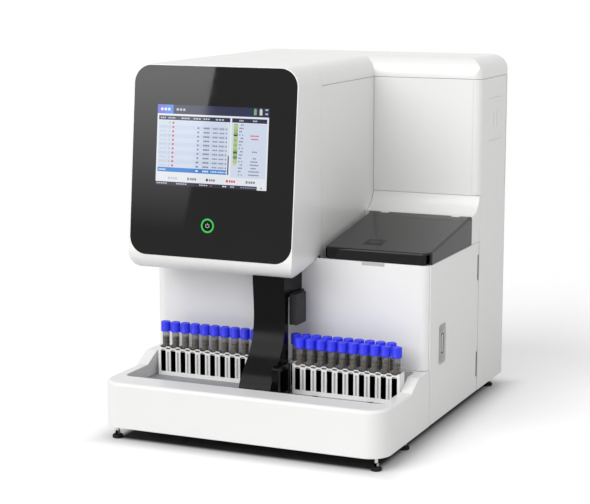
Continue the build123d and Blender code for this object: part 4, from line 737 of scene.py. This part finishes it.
def build_feet():
    """Stepped rubber pads with a hex nut round each stud."""
    low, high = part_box("foot_pads")
    height = high[2] - low[2]
    bm = bmesh.new()
    for x, y, radius in foot_centres():
        centre = (x, y, low[2])
        side = radius - 0.0002
        pad = [
            (side - 0.0010, 0.0), (side, 0.0010), (side, 0.0052), (side - 0.0012, 0.0066),
            (0.62 * radius, 0.0080), (0.58 * radius, 0.0086),
        ]
        nut = [(0.50 * radius, 0.0084), (0.50 * radius, height - 0.0004), (0.44 * radius, height)]
        turned(bm, pad, centre, 0, 32)
        turned(bm, nut, centre, 1, 6)
    piece = to_object("foot_forms", bm, (RUBBER, TURNED), "chassis")
    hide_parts("foot_pads")


build_feet()


# Small forms on the casing ----------------------------------------------------------------

# Painted shade of the finger recess under the lid.
NOTCH_PAINTED_SHADE = plastic("notch_shade", (0.46, 0.46, 0.455), rough=0.45, tone=0.03, edge=0.0)
# Painted shade of the gap round the door's grip bar.
SEAM_PAINTED_SHADE = plastic("seam_painted_shade", (0.10, 0.10, 0.10), rough=0.6, tone=0.1, edge=0.0)
FILM = 0.0006
FILM_EDGE = 0.0001


def film(name, outlines, matrix, material, body, thick=FILM, bevel=FILM_EDGE):
    """Thin form laid on a surface."""
    bm = bmesh.new()
    add_plate(bm, outlines, thick, bevel, matrix, 0)
    piece = to_object(name, bm, (material,), body)


# Mark on the lid's slope, near its front, with a thin line inside its rim.
MARK_X = 0.166
MARK_BACK = 0.052
MARK_W = 0.040
MARK_D = 0.034
MARK_LINES = (0.006, 0.0075)
MARK_LIFT = 0.00025
LINE_THICK = 0.0004


def mark_outline(inset, corner):
    across, along = MARK_W / 2 - inset, MARK_D / 2 - inset
    return box_outline(-across, across, -along, along, corner)


lid_node = nodes["lid"]
lid_low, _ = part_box("lid")
_, point, normal, _ = lid_node.ray_cast(Vector((MARK_X, lid_low[1] + MARK_BACK, 1.0)), Vector((0, 0, -1)))
slope = math.atan2(-normal.y, normal.z)
place = Matrix.Translation(point + normal * MARK_LIFT) @ Matrix.Rotation(slope, 4, "X")
film("lid_mark", [mark_outline(0.0, 0.003)], place, DARK, body_of(lid_node)[0])
film("lid_mark_line", [mark_outline(inset, 0.002) for inset in MARK_LINES],
     Matrix.Translation(normal * LINE_THICK) @ place, BLACK, body_of(lid_node)[0],
     LINE_THICK, 0.0)

# Painted shade of a finger recess under the lid's front edge: a grey film on the front panel.
NOTCH_X0 = 0.159
NOTCH_X1 = 0.207
NOTCH_DROP = 0.0075
NOTCH_GAP = 0.0004

panel_low, panel_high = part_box("front_panel")
notch = box_outline(NOTCH_X0, NOTCH_X1, panel_high[2] - NOTCH_DROP, panel_high[2] - NOTCH_GAP, 0.0025)
film("lid_notch_shade", [notch], upright(0, panel_low[1] + NOTCH_GAP, 0), NOTCH_PAINTED_SHADE, "chassis")

# Dark line round the door's grip bar, painted shade of the gap round it: from, to and half height about the
# cup's middle.
GRIP_LINE = ((-0.0032, 0.0100, 0.0215), (-0.0012, 0.0078, 0.0185))
GRIP_DEPTH = 0.0011

cup_low, cup_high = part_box("door_handle_cup")
cup_y = (cup_low[1] + cup_high[1]) / 2
cup_z = (cup_low[2] + cup_high[2]) / 2
lines = [
    box_outline(cup_y + front, cup_y + back, cup_z - half, cup_z + half, 0.002)
    for front, back, half in GRIP_LINE
]
film("grip_line", lines, sideways(cup_high[0] - GRIP_DEPTH, 0, 0, 90), SEAM_PAINTED_SHADE,
     body_of(nodes["door_handle_cup"])[0])


# Screen -----------------------------------------------------------------------------------

SCREEN_COLOURS = {
    "white": (0.90, 0.93, 0.98), "navy": (0.008, 0.016, 0.070), "row": (0.66, 0.75, 0.92),
    "row_alt": (0.72, 0.80, 0.95), "pick": (0.030, 0.250, 0.720), "tab_a": (0.16, 0.16, 0.80),
    "tab_b": (0.06, 0.28, 0.85), "text": (0.18, 0.22, 0.32), "red": (0.75, 0.06, 0.12),
    "green": (0.33, 0.50, 0.12), "leaf": (0.50, 0.66, 0.28), "pine": (0.05, 0.16, 0.05),
    "black": (0.004, 0.005, 0.008), "pale": (0.58, 0.64, 0.76), "foot": (0.018, 0.014, 0.035),
    "cream": (0.75, 0.76, 0.60), "mint": (0.22, 0.46, 0.26), "bar": (0.25, 0.30, 0.40),
}
# Heights of the screen's layers over the glass.
FIRST_LAYER = 0.00005
LAYER_STEP = 0.00004
rects = []


def lit(name, colour, strength=0.85):
    """Lit pixels under gloss, with a fine grid in their tone."""
    material, tree, shader, _ = new_material("screen_" + name)
    tone = ramp(tree, noise(tree, 1400.0, 1.0), shade(colour, 0.93), shade(colour, 1.0))
    tree.links.new(tone, shader.inputs["Emission Color"])
    shader.inputs["Emission Strength"].default_value = strength
    shader.inputs["Base Color"].default_value = (0.01, 0.01, 0.01, 1)
    shader.inputs["Roughness"].default_value = 0.06
    shader.inputs["Specular IOR Level"].default_value = 0.3
    return material


def rect(u0, v0, u1, v1, colour, level=1):
    """Rectangle in shares of the screen's width and height, from its top left corner."""
    rects.append((u0, v0, u1, v1, colour, level))


def dashes(u, v0, v1, count, pitch, width, colour, level=2):
    """Row of short bars that stands for a word."""
    for part in range(count):
        rect(u + pitch * part, v0, u + pitch * part + width, v1, colour, level)


# Bar at the top: two tabs with their words, two bottle signs and a menu sign.
rect(0.0, 0.0, 1.0, 1.0, "white", 0)
rect(0.0, 0.0, 1.0, 0.112, "navy")
dashes(0.000, 0.0, 0.112, 3, 0.024, 0.024, "tab_a")
dashes(0.072, 0.0, 0.112, 3, 0.024, 0.024, "tab_b")
dashes(0.030, 0.040, 0.072, 3, 0.032, 0.022, "white", 3)
dashes(0.172, 0.042, 0.070, 3, 0.030, 0.020, "pale", 3)
for u, tone in ((0.866, "mint"), (0.916, "cream")):
    rect(u, 0.020, u + 0.024, 0.088, tone, 2)
    rect(u + 0.006, 0.008, u + 0.018, 0.020, tone, 2)
for v in (0.012, 0.062):
    rect(0.966, v, 0.990, v + 0.018, "pale", 2)

# Heads of the table and of the result panel.
HEAD_WORDS = (
    (0.03, 0.05), (0.10, 0.03), (0.135, 0.03), (0.22, 0.08), (0.33, 0.07), (0.42, 0.06), (0.53, 0.08),
    (0.74, 0.04), (0.86, 0.04),
)
for left, right in ((0.014, 0.660), (0.676, 0.985)):
    rect(left, 0.135, right, 0.188, "navy")
for u, width in HEAD_WORDS:
    dashes(u, 0.153, 0.171, 3, width / 3, 0.24 * width, "pale")

# Table: the first row holds marks alone, and the last is the picked one.
ROWS = 12
ROW_TOP = 0.196
ROW_H = 0.0530
ROW_LEFT = 0.014
ROW_RIGHT = 0.640
for row in range(ROWS):
    v = ROW_TOP + row * ROW_H
    picked = row == ROWS - 1
    ink = "white" if picked else "text"
    rect(ROW_LEFT, v, ROW_RIGHT, v + ROW_H, "row" if row % 2 else "row_alt")
    if picked:
        rect(ROW_LEFT, v - 0.002, ROW_RIGHT, v + ROW_H, "pick", 2)
    else:
        rect(0.107, v + 0.014, 0.122, v + 0.038, "pale" if row % 3 else "leaf", 3)
        rect(0.139, v + 0.014, 0.156, v + 0.038, "red", 3)
    if row > 0:
        dashes(0.026, v + 0.018, v + 0.034, 5, 0.013, 0.010, "white" if picked else "pale", 3)
        rect(0.368 - 0.006 * (row > 8), v + 0.016, 0.384, v + 0.036, ink, 3)
        dashes(0.424, v + 0.016, v + 0.036, 4, 0.014, 0.011, ink, 3)
        for part in range(10):
            u = 0.496 + 0.0145 * part
            rect(u, v + 0.017, u + 0.010, v + 0.035, ink if part % 4 else "pale", 3)
rect(0.646, 0.196, 0.660, 0.832, "row_alt")
rect(0.648, 0.600, 0.658, 0.832, "navy", 2)

# Result panel: the strip with its pads, their names and the values.
PADS = (
    "leaf", "leaf", "green", "green", "black", "leaf", "green", "leaf", "green", "leaf", "green", "black",
    "green", "pine", "leaf", "leaf", "cream",
)
VALUES = ((0.530, 0.862, 3), (0.610, 0.870, 2), (0.650, 0.852, 4), (0.690, 0.846, 5), (0.730, 0.856, 3),
          (0.770, 0.838, 6), (0.812, 0.836, 6))
rect(0.676, 0.196, 0.985, 0.860, "row_alt")
for index, tone in enumerate(PADS):
    v = 0.200 + 0.0305 * index
    rect(0.694, v, 0.730, v + 0.0295, tone, 2)
    rect(0.697, v + 0.006, 0.727, v + 0.012, "green" if tone == "leaf" else "leaf", 3)
for row in range(16):
    v = 0.206 + 0.0405 * row
    for part in range(3):
        if (row + part) % 4:
            u = 0.744 + 0.0125 * part
            rect(u, v, u + 0.0095, v + 0.017, "text" if row % 3 else "bar", 2)
dashes(0.842, 0.335, 0.350, 5, 0.0155, 0.012, "red")
dashes(0.850, 0.375, 0.390, 5, 0.0125, 0.010, "red")
for v, u, count in VALUES:
    dashes(u, v, v + 0.015, count, 0.0155, 0.012, "text")

# Buttons under the table, and the status line.
BUTTONS = ((0.115, "pale", "pale"), (0.290, "bar", "text"), (0.460, "black", "text"), (0.640, "red", "red"),
           (0.815, "bar", "text"))
STATUS = ((0.010, 5, "pale"), (0.190, 5, "pale"), (0.400, 4, "pale"), (0.500, 1, "red"), (0.610, 2, "white"),
          (0.680, 2, "pale"), (0.770, 7, "bar"))
for u, sign, word in BUTTONS:
    rect(u, 0.893, u + 0.018, 0.925, sign, 2)
    dashes(u + 0.026, 0.896, 0.923, 3, 0.020, 0.015, word)
rect(0.0, 0.955, 0.915, 1.0, "foot")
for u, count, tone in STATUS:
    dashes(u, 0.968, 0.984, count, 0.020, 0.014, tone)
rect(0.945, 0.968, 0.962, 0.982, "text", 2)

bm = bmesh.new()
order = list(SCREEN_COLOURS)
place = glass_matrix(SCREEN_X, SCREEN_Z)
for u0, v0, u1, v1, tone, level in rects:
    height = FIRST_LAYER + LAYER_STEP * level
    corners = []
    for u, v in ((u0, v1), (u1, v1), (u1, v0), (u0, v0)):
        corners.append(bm.verts.new(place @ Vector(((u - 0.5) * SCREEN_W, (0.5 - v) * SCREEN_H, height))))
    bm.faces.new(corners).material_index = order.index(tone)
materials = [lit(name, colour) for name, colour in SCREEN_COLOURS.items()]
screen = to_object("screen_image", bm, materials, "chassis")


# Power button -----------------------------------------------------------------------------

GLOW = lit("ring_glow", (0.03, 0.62, 0.08), 1.0)
ICON = lit("icon", (0.75, 0.78, 0.76), 1.0)
# Radii of the light and of the symbol's open ring, the symbol's stroke and the height over the glass.
LIGHT_RADII = (0.0112, 0.0138)
SYMBOL_RADII = (0.0034, 0.0043)
STROKE_HALF = 0.00045
STROKE_FOOT = 0.0012
STROKE_TOP = 0.0054
PROUD = 0.00012


def flat_ring(bm, place, radii, start, end, steps=40):
    """Flat band between two radii, from one angle to another."""
    pairs = []
    for step in range(steps + 1):
        angle = math.radians(start + (end - start) * step / steps)
        pairs.append([
            bm.verts.new(place @ Vector((radius * math.cos(angle), radius * math.sin(angle), PROUD)))
            for radius in radii
        ])
    for first, second in zip(pairs, pairs[1:]):
        bm.faces.new((first[0], first[1], second[1], second[0]))


place = glass_matrix(BUTTON_X, BUTTON_Z)
bm = bmesh.new()
flat_ring(bm, place, LIGHT_RADII, 0, 360)
glow = to_object("ring_light", bm, (GLOW,), "chassis")

bm = bmesh.new()
flat_ring(bm, place, SYMBOL_RADII, 125, 415)
stroke = box_outline(-STROKE_HALF, STROKE_HALF, STROKE_FOOT, STROKE_TOP)
bm.faces.new([bm.verts.new(place @ Vector((x, y, PROUD))) for x, y in stroke])
icon = to_object("power_symbol", bm, (ICON,), "power_button")

bpy.context.view_layer.update()
